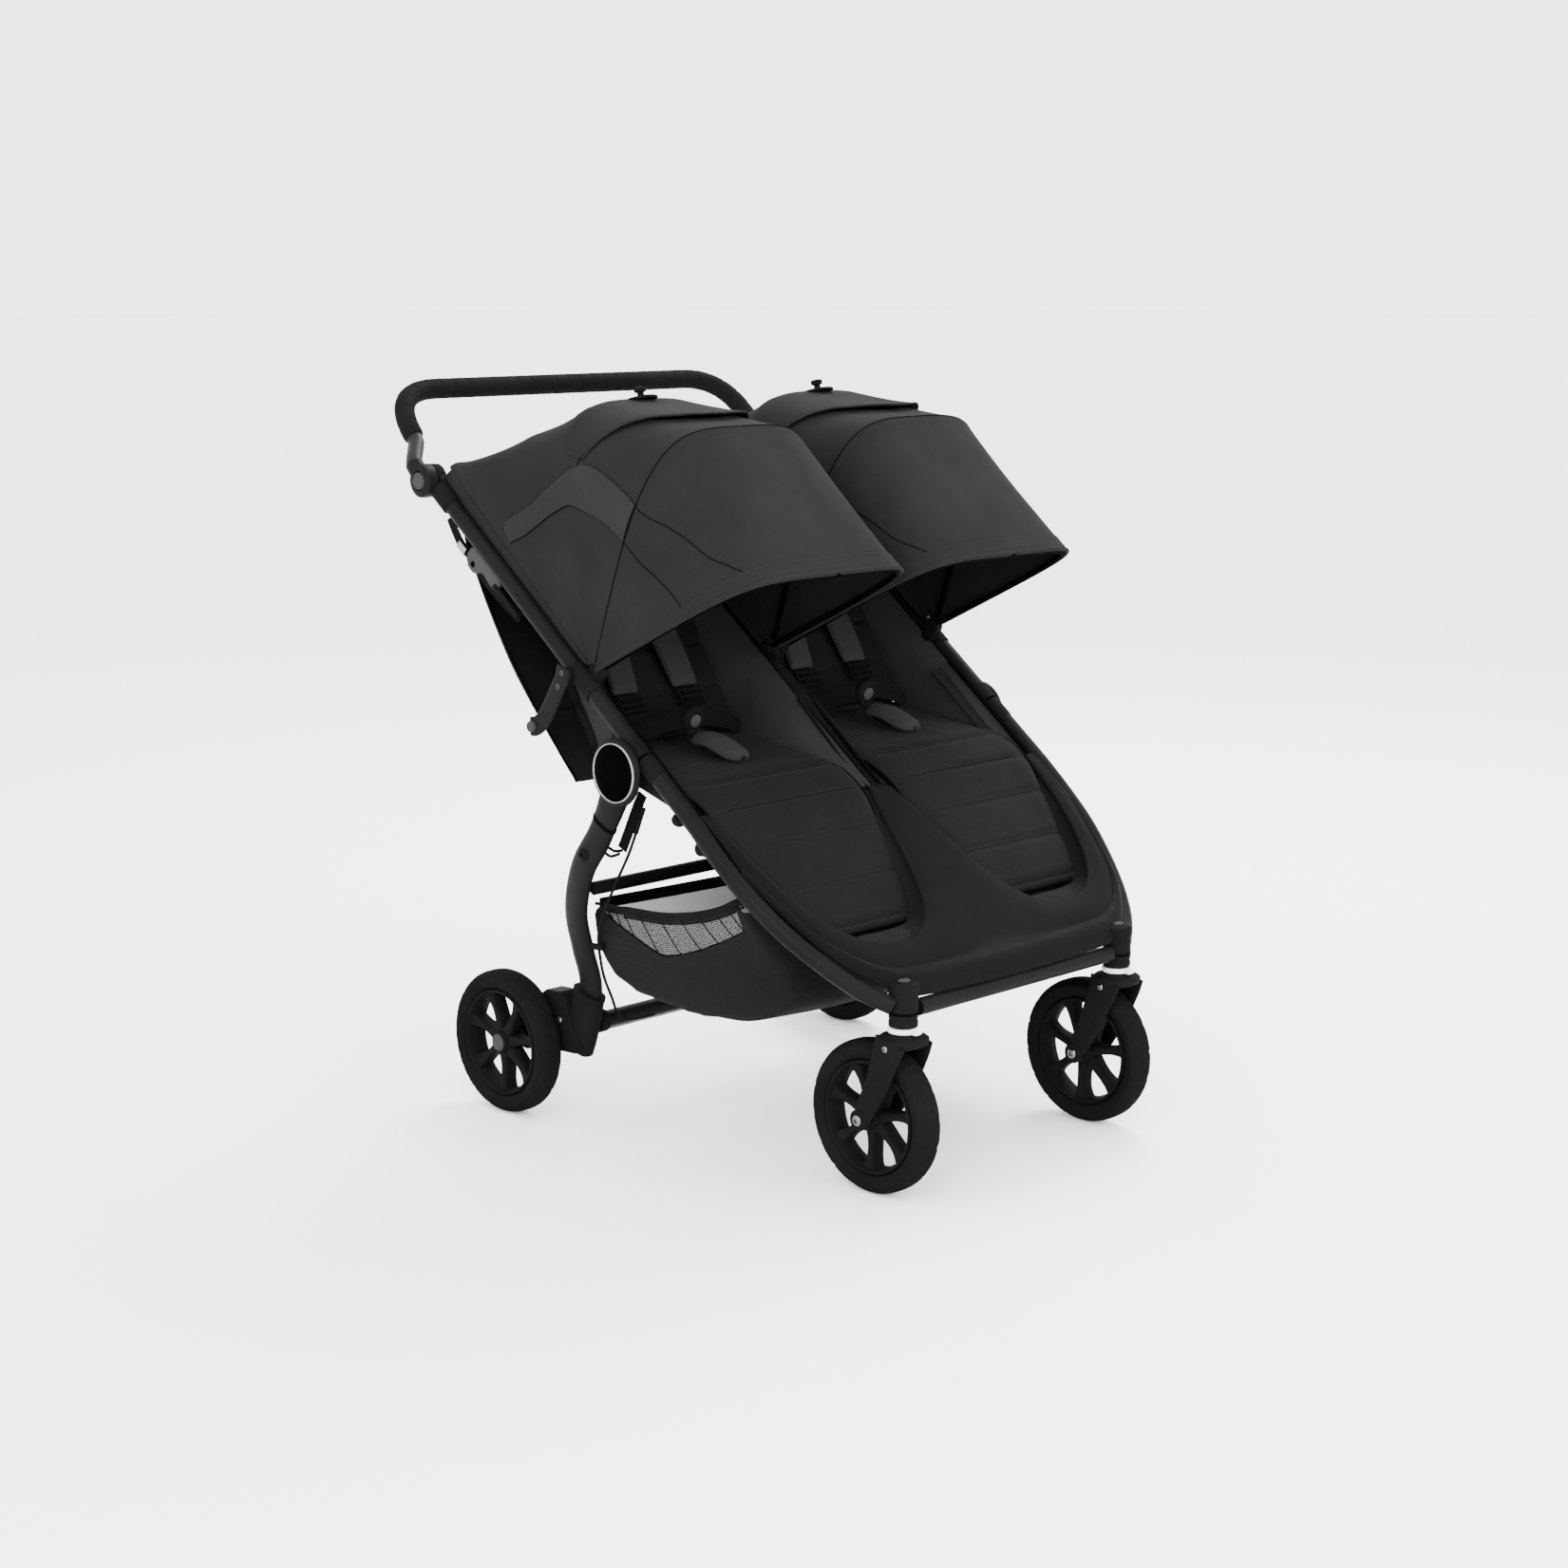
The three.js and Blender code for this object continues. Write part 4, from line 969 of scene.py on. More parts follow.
# ---- side wings, centre strap -------------------------------------------------------------------
def wings(name, side):
    """Cloth cheeks between the rails and the edges of the seat, one on each side of it."""
    x = side * SEAT_X
    piece = Piece(f"side_wings_{name}")
    grids = []
    for inner in (1, -1):
        toward = -side * inner
        rail_x = side * (CLOTH_OUT if inner > 0 else CLOTH_IN)
        rows = []
        steps = 40
        for i in range(steps + 1):
            t = i / steps
            top = rail(rail_x, mix(410, -138, t), 40 if inner > 0 else mix(38, 44, t))
            foot_x = x + side * inner * 146
            if t < 0.5:
                low = P(foot_x - side * inner * 14, *RECLINE) + BACK_UP * mix(0.33, 0.0, t / 0.5)
                low += Vector((0, 0.004, -0.003))
            else:
                w = (t - 0.5) / 0.5
                low = P(foot_x - side * inner * mix(14, 4, w), mix(462, 236, w), mix(560, 502, w ** 1.5))
            row = []
            for j in range(15):
                w = j / 14
                p = top.lerp(low, w)
                belly = 9 * math.sin(math.pi * w) * math.sin(math.pi * min(t * 1.05, 1))
                crease = 2.2 * noise.noise(Vector((t * 6, w * 2.2, side * 3 + inner)))
                row.append(p + X * (toward * (belly + crease * math.sin(math.pi * w)) * 0.001))
            rows.append(row)
        # the wings' lighter cloth carries painted light
        piece.add(sheet(rows, 2.0), WING_PAINTED_LIGHT)
        grids.append(rows)
        for shift in (0.0, 0.006):
            stitch = []
            for q in range(15):
                a, b = rows[18][q], rows[24][q]
                stitch.append(mix(a, b, q / 14) + X * (toward * 0.0016) + Vector((0, shift, shift)))
            piece.sew(curve(stitch, 3), 3.2, 0.7)
        for q in (1, 13):
            piece.sew([r[q] + X * (toward * 0.0014) for r in rows])
        piece.add(tube([r[0] for r in rows], 2.4, sides=8), SEAM)

    def hold(obj):
        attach(obj, "upper_frame")
        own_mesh(obj)
    obj = piece.done("upper_frame", "cloth", hold=hold, sharp=60)
    declare_cloth(grids)


def centre_rail():
    piece = Piece("centre_rail_covered")
    p0 = rail(0, 40, 38)
    top = rail(0, 482)
    high = top + Vector((0, -0.016, -0.024))
    line = [mix(p0, high, k / 20) for k in range(21)]
    piece.add(tube(line, 11, 9, sides=28, power=0.7), FRAME)
    d = (high - p0).normalized()
    for t in (0.04, 0.12, 0.3):
        a = mix(p0, high, t)
        piece.add(tube([a, a + d * 0.006, a + d * 0.012], 12.4, 10.4, sides=28, power=0.7), PLASTIC)
    # clustered canopy mounts on the middle rail
    for s in (-1, 1):
        for k, r in enumerate((15, 12.5, 10)):
            centre = P(s * (2 + 1.2 * k), CANOPY[0] + 4, CANOPY[1] - 10 + 3 * k)
            piece.add(lathe([(0, 0), (r, 0), (r, 3.2), (r - 1.4, 4.4), (0, 4.4)], centre, X * s, 32), PLASTIC)
    piece.done("upper_frame", "frame", ["centre_rail"])
    strap_piece = Piece("centre_strap")
    line = curve([rail(0, s, lift) for s, lift in
                  ((46, 46), (-30, 42), (-100, 40), (-140, 45), (-160, 49))], 8)
    strap_piece.add(strap(line, 34, 3, X, fold=2), WEBBING)
    for e in (-0.0145, 0.0145):
        strap_piece.sew([p + X * e + Vector((0, -0.001, 0.0024)) for p in line])

    def hold(obj):
        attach(obj, "front_frame")
        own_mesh(obj)
    strap_piece.done("front_frame", "cloth", hold=hold)


# ---- basket --------------------------------------------------------------------------------------
def basket():
    # rim y, rim z, rim half width, then the same of the floor's edge, from back to front
    stations = [(462, 338, 322, 462, 326, 316), (459, 334, 323, 452, 240, 304),
                (425, 334, 327, 424, 218, 292), (392, 338, 330, 392, 207, 284),
                (315, 345, 336, 315, 198, 270), (244, 358, 338, 235, 201, 260),
                (190, 376, 337, 170, 222, 254), (162, 390, 336, 122, 264, 252),
                (154, 394, 334, 140, 384, 320)]
    dense = [curve([Vector((s[k], 0, 0)) for s in stations], 5) for k in range(6)]
    count = len(dense[0])
    cols = 48

    def at(i, t):
        """Point of the tray: i runs from back to front, t from one rim under the floor to the other."""
        rim_y, rim_z, rim_w, floor_y, floor_z, floor_w = (d[i].x for d in dense)
        s = math.copysign(1, t)
        a = abs(t)
        if a > 0.55:
            w = ((a - 0.55) / 0.45) ** 0.85
            belly = math.sin(math.pi * w)
            px = s * (mix(floor_w, rim_w, w) + 13 * belly)
            py = mix(floor_y, rim_y, w)
            pz = mix(floor_z, rim_z, w) - 2 * belly
        else:
            w = a / 0.55
            px, py, pz = s * floor_w * w, floor_y, floor_z - 9 * (1 - w ** 2.5)
        crease = 2.2 * noise.noise(Vector((px * 0.011, py * 0.02, pz * 0.012)))
        return P(px + s * crease * (a > 0.3), py, pz + 0.5 * crease)

    def height_share(i, drop):
        """t of the point that lies a drop below the rim."""
        rim_z, floor_z = dense[1][i].x, dense[4][i].x
        return 0.55 + 0.45 * max(1 - drop / (rim_z - floor_z), 0.0) ** (1 / 0.85)

    def mesh_depth(y):
        """Depth of the open mesh below the rim, deepest at the gusset seam."""
        if y > 321:
            return max(54 * (450 - y) / 129, 3)
        return mix(54, 31, (321 - y) / 160) if y > 163 else 3
    split = [height_share(i, mesh_depth(dense[0][i].x)) for i in range(count)]

    rows = [[at(i, 2 * j / cols - 1) for j in range(cols + 1)] for i in range(count)]
    piece = Piece("basket_sewn")
    body_grid = [[at(i, split[i] * (2 * j / cols - 1)) for j in range(cols + 1)] for i in range(count)]
    piece.add(sheet(body_grid, 2.2), PAD)
    for s in (-1, 1):
        band = [[at(i, s * mix(split[i], 1, j / 6)) for j in range(7)] for i in range(count)]
        piece.add(sheet(band, 1.6), MESHWORK)
        piece.add(tube([r[0] for r in band], 1.6, sides=8), SEAM)
        apex = min(range(count), key=lambda i: abs(dense[0][i].x - 321))
        gusset = [at(apex, s * mix(split[apex], 0.69, k / 6)) for k in range(7)]
        gusset += [at(min(apex + k, count - 1), s * mix(0.69, 0.6, k / 9)) for k in range(1, 10)]
        piece.add(tube(gusset, 1.3, sides=8), SEAM)
        beside = X * (s * 0.0012) + Vector((0, -0.003, 0))
        piece.sew([p + beside for p in gusset], 3.6, 0.45)
        # gathered tucks in the mesh
        for k in range(11):
            i = 5 + 3 * k
            if i + 2 < count:
                tuck = [mix(band[i][6 - q], band[i + 2][6 - q], q / 6) + X * (s * 0.0007) for q in range(7)]
                piece.add(tube(tuck, 0.7, sides=6), SEAM)
    for j in (0, cols):
        s = -1 if j == 0 else 1
        hem = [row[j] + Vector((0, 0, 0.003)) for row in rows]
        piece.add(strap(hem, 17, 2.6, UP), PANEL)
        beside = X * (s * 0.0012) - UP * 0.005
        piece.sew([p + beside for p in hem], 3.6, 0.45)
    near, far = rows[0][0], rows[0][cols]
    back = [p + UP * 0.004 for p in (near, mix(near, far, 0.5) - UP * 0.006, far)]
    piece.add(strap(curve(back, 14), 16, 3, UP), PANEL)
    # pale lining of the tray's back wall
    lining = [[P(mix(-300, 300, q / 20), mix(452, 444, k / 8),
                 mix(336, 250, k / 8) - 6 * math.sin(math.pi * q / 20)) for q in range(21)] for k in range(9)]
    piece.add(sheet(lining, 1.2), LINING)
    piece.add(sheet([[p + Vector((0, 0.0035, 0)) for p in row] for row in lining], 1.2), PAD)

    def hold(obj):
        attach(obj, "front_frame")
        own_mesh(obj)
    obj = piece.done("front_frame", "cloth", ["basket"], hold=hold, sharp=60)
    declare_cloth([rows, lining])


# ---- rear legs ----------------------------------------------------------------------------------
def leg_path(side):
    return curve([P(side * 370, HUB[0] + 12, HUB[1] - 30), P(side * 371, HUB[0] + 27, HUB[1] - 62),
                  P(side * 370, HUB[0] + 50, HUB[1] - 101), P(side * 367, 447, 402), P(side * 354, 478, 334),
                  P(side * 334, 488, 272), P(side * 314, 495, 210), P(side * 311, 518, 140)], 8)


def rear_leg(name, side):
    outward = X * side
    hub = P(side * 374.6, *HUB)
    piece = Piece(f"rear_leg_{name}_oval")
    profile = [(0, 0), (44, 0), (47, 1), (48.5, 3.4), (48, 7), (46, 9.6), (43.6, 10), (42.6, 8),
               (42, 6), (0, 6)]
    piece.add(lathe(profile, hub, outward, 72), FRAME)
    path = leg_path(side)

    def swell(t):
        return 1.18 - 0.2 * min(t * 5, 1)
    piece.add(tube(path, 10, 22.5, X, 32, power=0.82, swell=swell), FRAME)
    piece.add(tube(path[11:13], 10.6, 23.3, X, 32, power=0.82), BLACK_AND_SHADE)
    screw = P(side * 380, 430, 428)
    piece.add(bolt(screw, outward, 7.5, 4), PLASTIC)
    piece.add(lathe([(0, 0), (10, 0), (10, 2.2), (8.6, 3.2), (0, 3.2)],
                    screw - outward * 0.002, outward, 32), PLASTIC)
    piece.done("rear_legs", "frame", [f"rear_leg_{name}"], sharp=50)

    cover = Piece(f"hub_disc_{name}")
    disc = [(0, 0), (39.8, 0), (39.8, 3.4), (37, 4.6), (20, 5.2), (0, 5.4)]
    ring = [(39.8, 0), (43, 0), (43, 3.4), (42, 4.8), (40.6, 4.8), (39.8, 3.6), (39.8, 0)]
    for profile, look in ((disc, GLOSS), (ring, SILVER)):
        cover.add(lathe(profile, hub + outward * 0.0066, outward, 80), look)
    cover.done("rear_legs", "gloss_plastic", [f"hub_cover_{name}"])


def wheel_bracket(name, side):
    piece = Piece(f"wheel_bracket_{name}_moulding")
    x0 = min(side * 296, side * 332)
    block = [(503, 118), (514, 106), (560, 103), (600, 99), (628, 90), (646, 92), (656, 104), (654, 118),
             (640, 128), (606, 160), (592, 184), (580, 192), (548, 194), (536, 184), (524, 150)]
    piece.add(prism(block, side_plate(x0), 36, 3.5, 3), PLASTIC)
    ribs = [(548, 128), (592, 122), (606, 132), (590, 156), (556, 168), (546, 158)]
    piece.add(prism(ribs, side_plate(x0 - 1 if side < 0 else x0 + 3), 34, 1.5), PLASTIC)
    socket = curve([P(side * 311, 529, 112), P(side * 312, 517, 140), P(side * 313.5, 500, 196)], 8)
    piece.add(tube(socket, 15.5, 27.5, X, 32, power=0.75), PLASTIC)
    lip = [socket[-1], socket[-1] + (socket[-1] - socket[-2]).normalized() * 0.006]
    piece.add(tube(lip, 16.6, 28.6, X, 32, power=0.75), PLASTIC)
    outward = X * side
    for y, z in ((546, 152), (574, 138)):
        piece.add(bolt(P(side * 332, y, z), outward, 5, 2.6), STEEL)
    piece.add(lathe([(0, 0), (13, 0), (13, 3), (10, 5), (5.4, 5.2), (5.4, 43), (4.6, 44), (0, 44)],
                    P(side * 332, REAR_Y, WHEEL_R), outward, 32), STEEL)
    cap = P(side * 376.4, REAR_Y, WHEEL_R)
    piece.add(lathe([(0, -1), (12, -1), (13, 0.6), (11.5, 2.6), (0, 3.2)], cap, outward, 36), GREY)
    piece.done("rear_legs", "moulded_plastic", [f"wheel_bracket_{name}"])


def rear_cross_members():
    line = [P(x, 450, 370) for x in range(-345, 346, 46)]
    Piece("rear_crossbar_round").add(tube(line, 10, sides=28, across=UP), FRAME).done(
        "rear_legs", "frame", ["rear_crossbar"])
    axle = Piece("rear_axle_tube_round")
    axle.add(tube([P(x, 508, 150) for x in range(-282, 283, 47)], 13, sides=28, across=UP), FRAME)
    axle.add(tube([P(x, 545, 122) for x in range(-294, 295, 49)], 2.4, sides=12, across=UP), STEEL)
    for x in (-286, 286):
        axle.add(lathe([(13.2, -8), (16, -8), (17, -6), (17, 6), (16, 8), (13.2, 8)],
                       P(x, 508, 150), X, 40), PLASTIC)
    axle.done("rear_legs", "frame", ["rear_axle_tube"])


def brake_cable():
    route = [(-337, 350, 497), (-342, 373, 436), (-343, 404, 383), (-343, 430, 336), (-340, 446, 298),
             (-320, 461, 240), (-296, 470, 196), (-276, 478, 164), (-252, 478, 152), (-215, 467, 154)]
    line = curve([P(*p) for p in route], 10)
    piece = Piece("brake_cable_sheathed").add(tube(line, 2.2, sides=14), GRIP)
    end = line[0] + (line[0] - line[1]).normalized() * 0.004
    piece.add(tube([end, line[0], line[6]], 3.4, sides=14), PLASTIC)
    web = curve([P(-334, 352, 520), P(-337, 362, 498), P(-339, 378, 462), P(-340, 390, 437)], 6)
    piece.add(strap(web, 17, 2, Vector((0, 0.91, 0.41))), WEBBING)
    # ribs across the webbing
    for p in web[4:]:
        rib = [p + Vector((-0.0012, 0.0082, 0.0037)), p, p + Vector((-0.0012, -0.0082, -0.0037))]
        piece.add(tube(rib, 1.3, sides=8), SEAM)
    loop = curve([P(-340, 392, 434), P(-341, 408, 431), P(-341, 427, 436), P(-341, 431, 428),
                  P(-341, 416, 422), P(-340, 398, 428)], 6)
    piece.add(tube(loop, 2.2, sides=10), WEBBING)
    clip = line[43]
    piece.add(tube([clip + Vector((-0.004, 0.012, 0)), clip, clip + Vector((0.002, -0.007, 0))],
                   5, 4, UP, 14), PLASTIC)
    piece.done("rear_legs", "rubber", ["brake_cable"])


# ---- upper frame --------------------------------------------------------------------------------
def upper_rail(name, side):
    x = side * RAIL_X
    piece = Piece(f"upper_rail_{name}_tube")
    piece.add(tube([mix(rail(x, -16.6), rail(x, 541), k / 24) for k in range(25)], RAIL_R, sides=32), FRAME)
    piece.add(tube([rail(x, -16.6), rail(x, -6), rail(x, 12)], RAIL_R + 1.1, sides=32), PLASTIC)
    # latch plate with its hole, webbing and tab
    outline = [yz(rail(0, s, lift)) for s, lift in
               ((356, 24), (360, 14), (366, 9), (374, 8), (396, 11), (402, 8), (408, 1), (418, -4),
                (430, -3), (438, 3), (442, 12), (440, 24), (434, 30), (362, 30))]
    piece.add(prism(outline, side_plate(min(side * (RAIL_X + 2), side * (RAIL_X + 6))), 4, 1.2), GREY)
    outward = X * side
    # the hole is a near-black disc on the plate: painted shade inside it
    hole = P(side * (RAIL_X + 6), *yz(rail(0, 422, 8)))
    piece.add(lathe([(0, 0), (4.6, 0), (4.6, 0.7), (0, 0.7)], hole, outward, 24), BLACK_AND_SHADE)
    web = curve([rail(side * (RAIL_X + 1), s, lift) for s, lift in
                 ((508, 22), (470, 9), (440, 8), (380, 4), (300, 12))], 6)
    piece.add(strap(web, 15, 2, ACROSS), WEBBING)
    tab = [rail(side * (RAIL_X + 4), s, 9) for s in (446, 456, 466)]
    piece.add(tube(tab, 3, 6, sides=16, power=0.5), SILVER)
    barrel = [rail(side * (RAIL_X + 5), s, 16) for s in (366, 350, 334, 318, 300)]
    piece.add(tube(barrel, 3.2, sides=14, swell=lambda t: 1.5 if t < 0.3 else 1.0), PLASTIC)
    # folding canopy clamp on the rail
    clamp = [rail(x, 112), rail(x, 124), rail(x, 156), rail(x, 166)]
    piece.add(tube(clamp, RAIL_R + 2.2, sides=32), PLASTIC)
    mount = link((CANOPY[0], CANOPY[1], 13), (CANOPY[0] + 10, CANOPY[1] - 16, 11))
    piece.add(prism(mount, side_plate(min(side * (RAIL_X - 19), side * (RAIL_X - 3))), 16, 2), PLASTIC)
    piece.done("upper_frame", "frame", [f"upper_rail_{name}"])


def pivot_housing(name, side):
    outward = X * side
    piece = Piece(f"pivot_housing_{name}_moulding")
    web = link((*PIVOT, 22), (*yz(rail(0, 532)), 15))
    piece.add(prism(web, side_plate(min(side * (RAIL_X - 13), side * (RAIL_X + 3))), 16, 3, 3), PLASTIC)
    profile = [(0, 0), (21, 0), (24, 2.5), (24.6, 14), (24, 16.6), (0, 16.6)]
    piece.add(lathe(profile, P(side * (RAIL_X - 13.4), *PIVOT), outward, 56), PLASTIC)
    sleeve = [rail(side * RAIL_X, s) for s in (512, 514, 522, 534, 545, 549)]
    piece.add(tube(sleeve, 15.6, sides=36, swell=lambda t: 0.9 if t < 0.1 else 1.0), PLASTIC)
    piece.done("upper_frame", "moulded_plastic", [f"pivot_housing_{name}"])


def top_cross_tube():
    y, z = yz(rail(0, 482))
    line = [P(x, y, z - 8) for x in (*range(-346, 347, 43), 346)]
    Piece("top_cross_tube_round").add(tube(line, 10, sides=28, across=UP), FRAME).done(
        "upper_frame", "frame", ["top_cross_tube"])


def back_cover(name, side):
    """Sling of cloth behind the seat, hung from the top tube."""
    x = side * SEAT_X
    profile = [(724, 884, 158), (738, 850, 166), (722, 800, 170), (690, 735, 171), (640, 660, 171),
               (578, 592, 170), (526, 546, 165), (490, 520, 158)]
    dense = curve([Vector(p) for p in profile], 7)
    rows = []
    for i, q in enumerate(dense):
        t = i / (len(dense) - 1)
        row = []
        for j in range(33):
            u = -1 + j / 16
            side_pull = 34 * abs(u) ** 9 * math.sin(math.pi * t)
            sag = 13 * (1 - u * u) * math.sin(math.pi * min(t * 1.15, 1))
            crease = 2.0 * noise.noise(Vector((u * 2.4, t * 5.5, 5 * side)))
            lift = (sag + crease - side_pull) * 0.7
            row.append(P(x + u * q.z, q.x + lift, q.y - lift))
        rows.append(row)
    piece = Piece(f"seat_back_cover_{name}_sling").add(sheet(rows, 1.6), CLOTH)
    for i in (9, 33):
        piece.add(tube([p + Vector((0, 0.0008, -0.0008)) for p in rows[i]], 1.3, sides=8), SEAM)
        line = [mix(a, b, 0.7) + Vector((0, 0.001, -0.001)) for a, b in zip(rows[i], rows[i + 1])]
        piece.sew(line)
    for j in (0, 32):
        piece.add(tube([r[j] for r in rows], 2.2, sides=8), SEAM)
    stand_off = Vector((0, 0.008, -0.008))
    pocket = [[mix(rows[i][j], rows[i][j] + stand_off, math.sin(math.pi * (j - 4) / 24) ** 0.4)
               for j in range(4, 29)] for i in range(14, 32)]
    piece.add(sheet(pocket, 1.4), CLOTH)

    def hold(obj):
        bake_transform(obj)
    obj = piece.done(None, "cloth", [f"seat_back_cover_{name}"], hold=hold, sharp=60)
    declare_cloth([rows, pocket])


# ---- handlebar ------------------------------------------------------------------------------------
def handlebar():
    rise = math.hypot(HANDLE[0] - PIVOT[0], HANDLE[1] - PIVOT[1])
    dy, dz = (HANDLE[0] - PIVOT[0]) / rise, (HANDLE[1] - PIVOT[1]) / rise

    def at(x, h):
        return P(x, PIVOT[0] + dy * h, PIVOT[1] + dz * h)

    def arm(side):
        low = [at(side * 375, 12), at(side * 374, 32), at(side * 358, 58), at(side * (HANDLE_X + 1), 74)]
        a = at(side * HANDLE_X, rise - HANDLE_CORNER)
        b = at(side * HANDLE_X, rise)
        c = at(side * (HANDLE_X - HANDLE_CORNER), rise)
        bend = [a * (1 - t) ** 2 + b * (2 * t * (1 - t)) + c * t * t for t in (k / 10 for k in range(11))]
        return low, bend
    low_l, bend_l = arm(-1)
    low_r, bend_r = arm(1)
    middle = [mix(bend_l[-1], bend_r[-1], k / 24) for k in range(1, 24)]
    whole = curve(low_l, 4)[:-1] + bend_l + middle + bend_r[::-1] + curve(low_r, 4)[:-1][::-1]
    normal = Vector((0, -dz, dy))
    piece = Piece("handlebar_bent_tube").add(tube(whole, 12.2, sides=32, across=normal), ARM)
    profile = [(13.8, 9), (0, 9), (0, 0), (22, 0), (25, 2), (25.4, 9), (24.6, 17), (21, 20),
               (15, 20.4), (13.8, 19), (13.8, 9)]
    for side, low in ((-1, low_l), (1, low_r)):
        piece.add(lathe(profile, P(side * (RAIL_X + 4), *PIVOT), X * side, 64), FRAME)
        piece.add(tube(low[:2], 13.6, 13.6, normal, 32), FRAME)
    piece.done("handlebar", "frame", ["handlebar"])

    grip = Piece("handlebar_grip_wrapped")
    cover = bend_l[1:] + middle + bend_r[::-1][:-1]
    cover = [mix(low_l[3], bend_l[1], 0.3)] + cover + [mix(low_r[3], bend_r[1], 0.3)]
    # the same line again with its points evenly spaced, for the grooves of the wrapping
    fine = curve(cover, 6)
    length = [0.0]
    for a, b in zip(fine, fine[1:]):
        length.append(length[-1] + (b - a).length * 1000)
    total = length[-1]
    pitch = total / 32
    even = []
    count = int(total / 1.6)
    k = 0
    for i in range(count + 1):
        s = total * i / count
        while k < len(length) - 2 and length[k + 1] < s:
            k += 1
        even.append(fine[k].lerp(fine[k + 1], (s - length[k]) / max(length[k + 1] - length[k], 1e-9)))

    def swell(t):
        s = t * total
        d = min(s % pitch, pitch - s % pitch)
        end = min(s, total - s)
        taper = 1 if end > 5 else 0.9 + 0.1 * math.sqrt(max(end, 0) / 5)
        return taper * (1 - 0.075 * math.exp(-(d / 1.15) ** 2))
    grip.add(tube(even, 15.4, sides=32, across=normal, swell=swell), GRIP)
    under = [p + v * 0.0153 for p, _, v in frames(even, normal)[::3]]
    grip.sew(under, 4.2, 0.7)
    grip.done("handlebar", "rubber", ["handlebar_grip"], sharp=60)
    for name, side in SIDES:
        button = Piece(f"tilt_button_{name}_domed")
        button.add(lathe([(0, 0), (12.6, 0), (12.6, 6.4), (11.4, 8), (9.6, 8.4), (9, 7.4), (0, 7)],
                         P(side * (RAIL_X + 18.6), *PIVOT), X * side, 48), GREY)
        button.done(f"tilt_button_{name}", "grey_plastic", [f"tilt_button_{name}"])


def brake_lever():
    x = -(RAIL_X + RAIL_R + 11.5)
    y, z = 464, 681
    piece = Piece("brake_lever_strap")
    line = curve([P(x, y - 3, z + 12), P(x, y + 3, z - 6), P(x, y + 16, z - 26), P(x, y + 32, z - 52),
                  P(x - 1, y + 46, z - 70), P(x - 2, y + 60, z - 79), P(x - 2, y + 70, z - 80)], 7)
    piece.add(tube(line, 2.2, 14, X, 24, power=0.6), FRAME)
    piece.add(lathe([(0, -10), (7.5, -10), (8.5, -8), (8.5, 8), (7.5, 10), (0, 10)],
                    P(x + 2, y + 66, z - 80), X, 28), GREY)
    for dy, dz in ((0, 4), (9, -16)):
        piece.add(bolt(P(x - 2, y + dy, z + dz), -X, 4.4, 2.2), GREY)
    piece.add(lathe([(0, 0), (11, 0), (12, 2), (12, 9), (0, 9.6)],
                    P(-(RAIL_X + RAIL_R + 1), y, z), -X, 36), PLASTIC)
    piece.done("brake_lever", "moulded_plastic", ["brake_lever"])


# ---- canopies -------------------------------------------------------------------------------------
FLAP_SHARE = 0.262    # half width of the vent flap, as a share of the arch


def bow_point(x, bow, t, grow=0.0):
    """Point of a bow, t running 0..1 from one foot to the other."""
    angle, reach, square = bow
    w = math.pi * min(max(t, 0.0), 1.0)
    power = 2 / square
    scale = (abs(math.cos(w)) ** power + math.sin(w) ** power) ** (-1 / power)
    h = (reach + grow) * math.sin(w) * scale
    a = math.radians(angle)
    return P(x - (HOOP_W + grow) * math.cos(w) * scale,
             CANOPY[0] + h * math.cos(a), CANOPY[1] + h * math.sin(a))


def canopy_point(x, angle, t, grow=6.4, seed=0):
    """Point of the stretched cloth between two bows: a ruled surface with a slight sag and folds."""
    k = max(i for i in range(len(BOWS) - 1) if BOWS[i][0] <= angle or i == 0)
    a, b = BOWS[k], BOWS[k + 1]
    f = min(max((angle - a[0]) / (b[0] - a[0]), 0), 1)
    p = bow_point(x, a, t, grow).lerp(bow_point(x, b, t, grow), f)
    centre = P(x, CANOPY[0], CANOPY[1] + 90)
    depth = math.sin(math.pi * f)
    edge = math.sin(math.pi * t)
    sag = (2.0, 4.0, 3.0, 1.5)[k] * depth * edge ** 0.7
    folds = 2.2 * noise.noise(Vector((t * 11 + seed, f * 0.9 + k * 3, seed))) * depth
    folds += 1.1 * noise.noise(Vector((t * 27 + seed, f * 1.6 + k * 3, seed + 9))) * depth
    return p + (centre - p).normalized() * ((sag + folds) * 0.001)


def foot_side(angle, height, side):
    """Where along the arch at this angle the cloth has risen to a height above the pivot."""
    low, high = 0.0, 0.5
    for _ in range(16):
        mid = (low + high) / 2
        p = canopy_point(0, angle, mid, 6.4)
        reach = math.hypot(yz(p)[0] - CANOPY[0], yz(p)[1] - CANOPY[1])
        low, high = (mid, high) if reach < height else (low, mid)
    return low if side < 0 else 1 - low


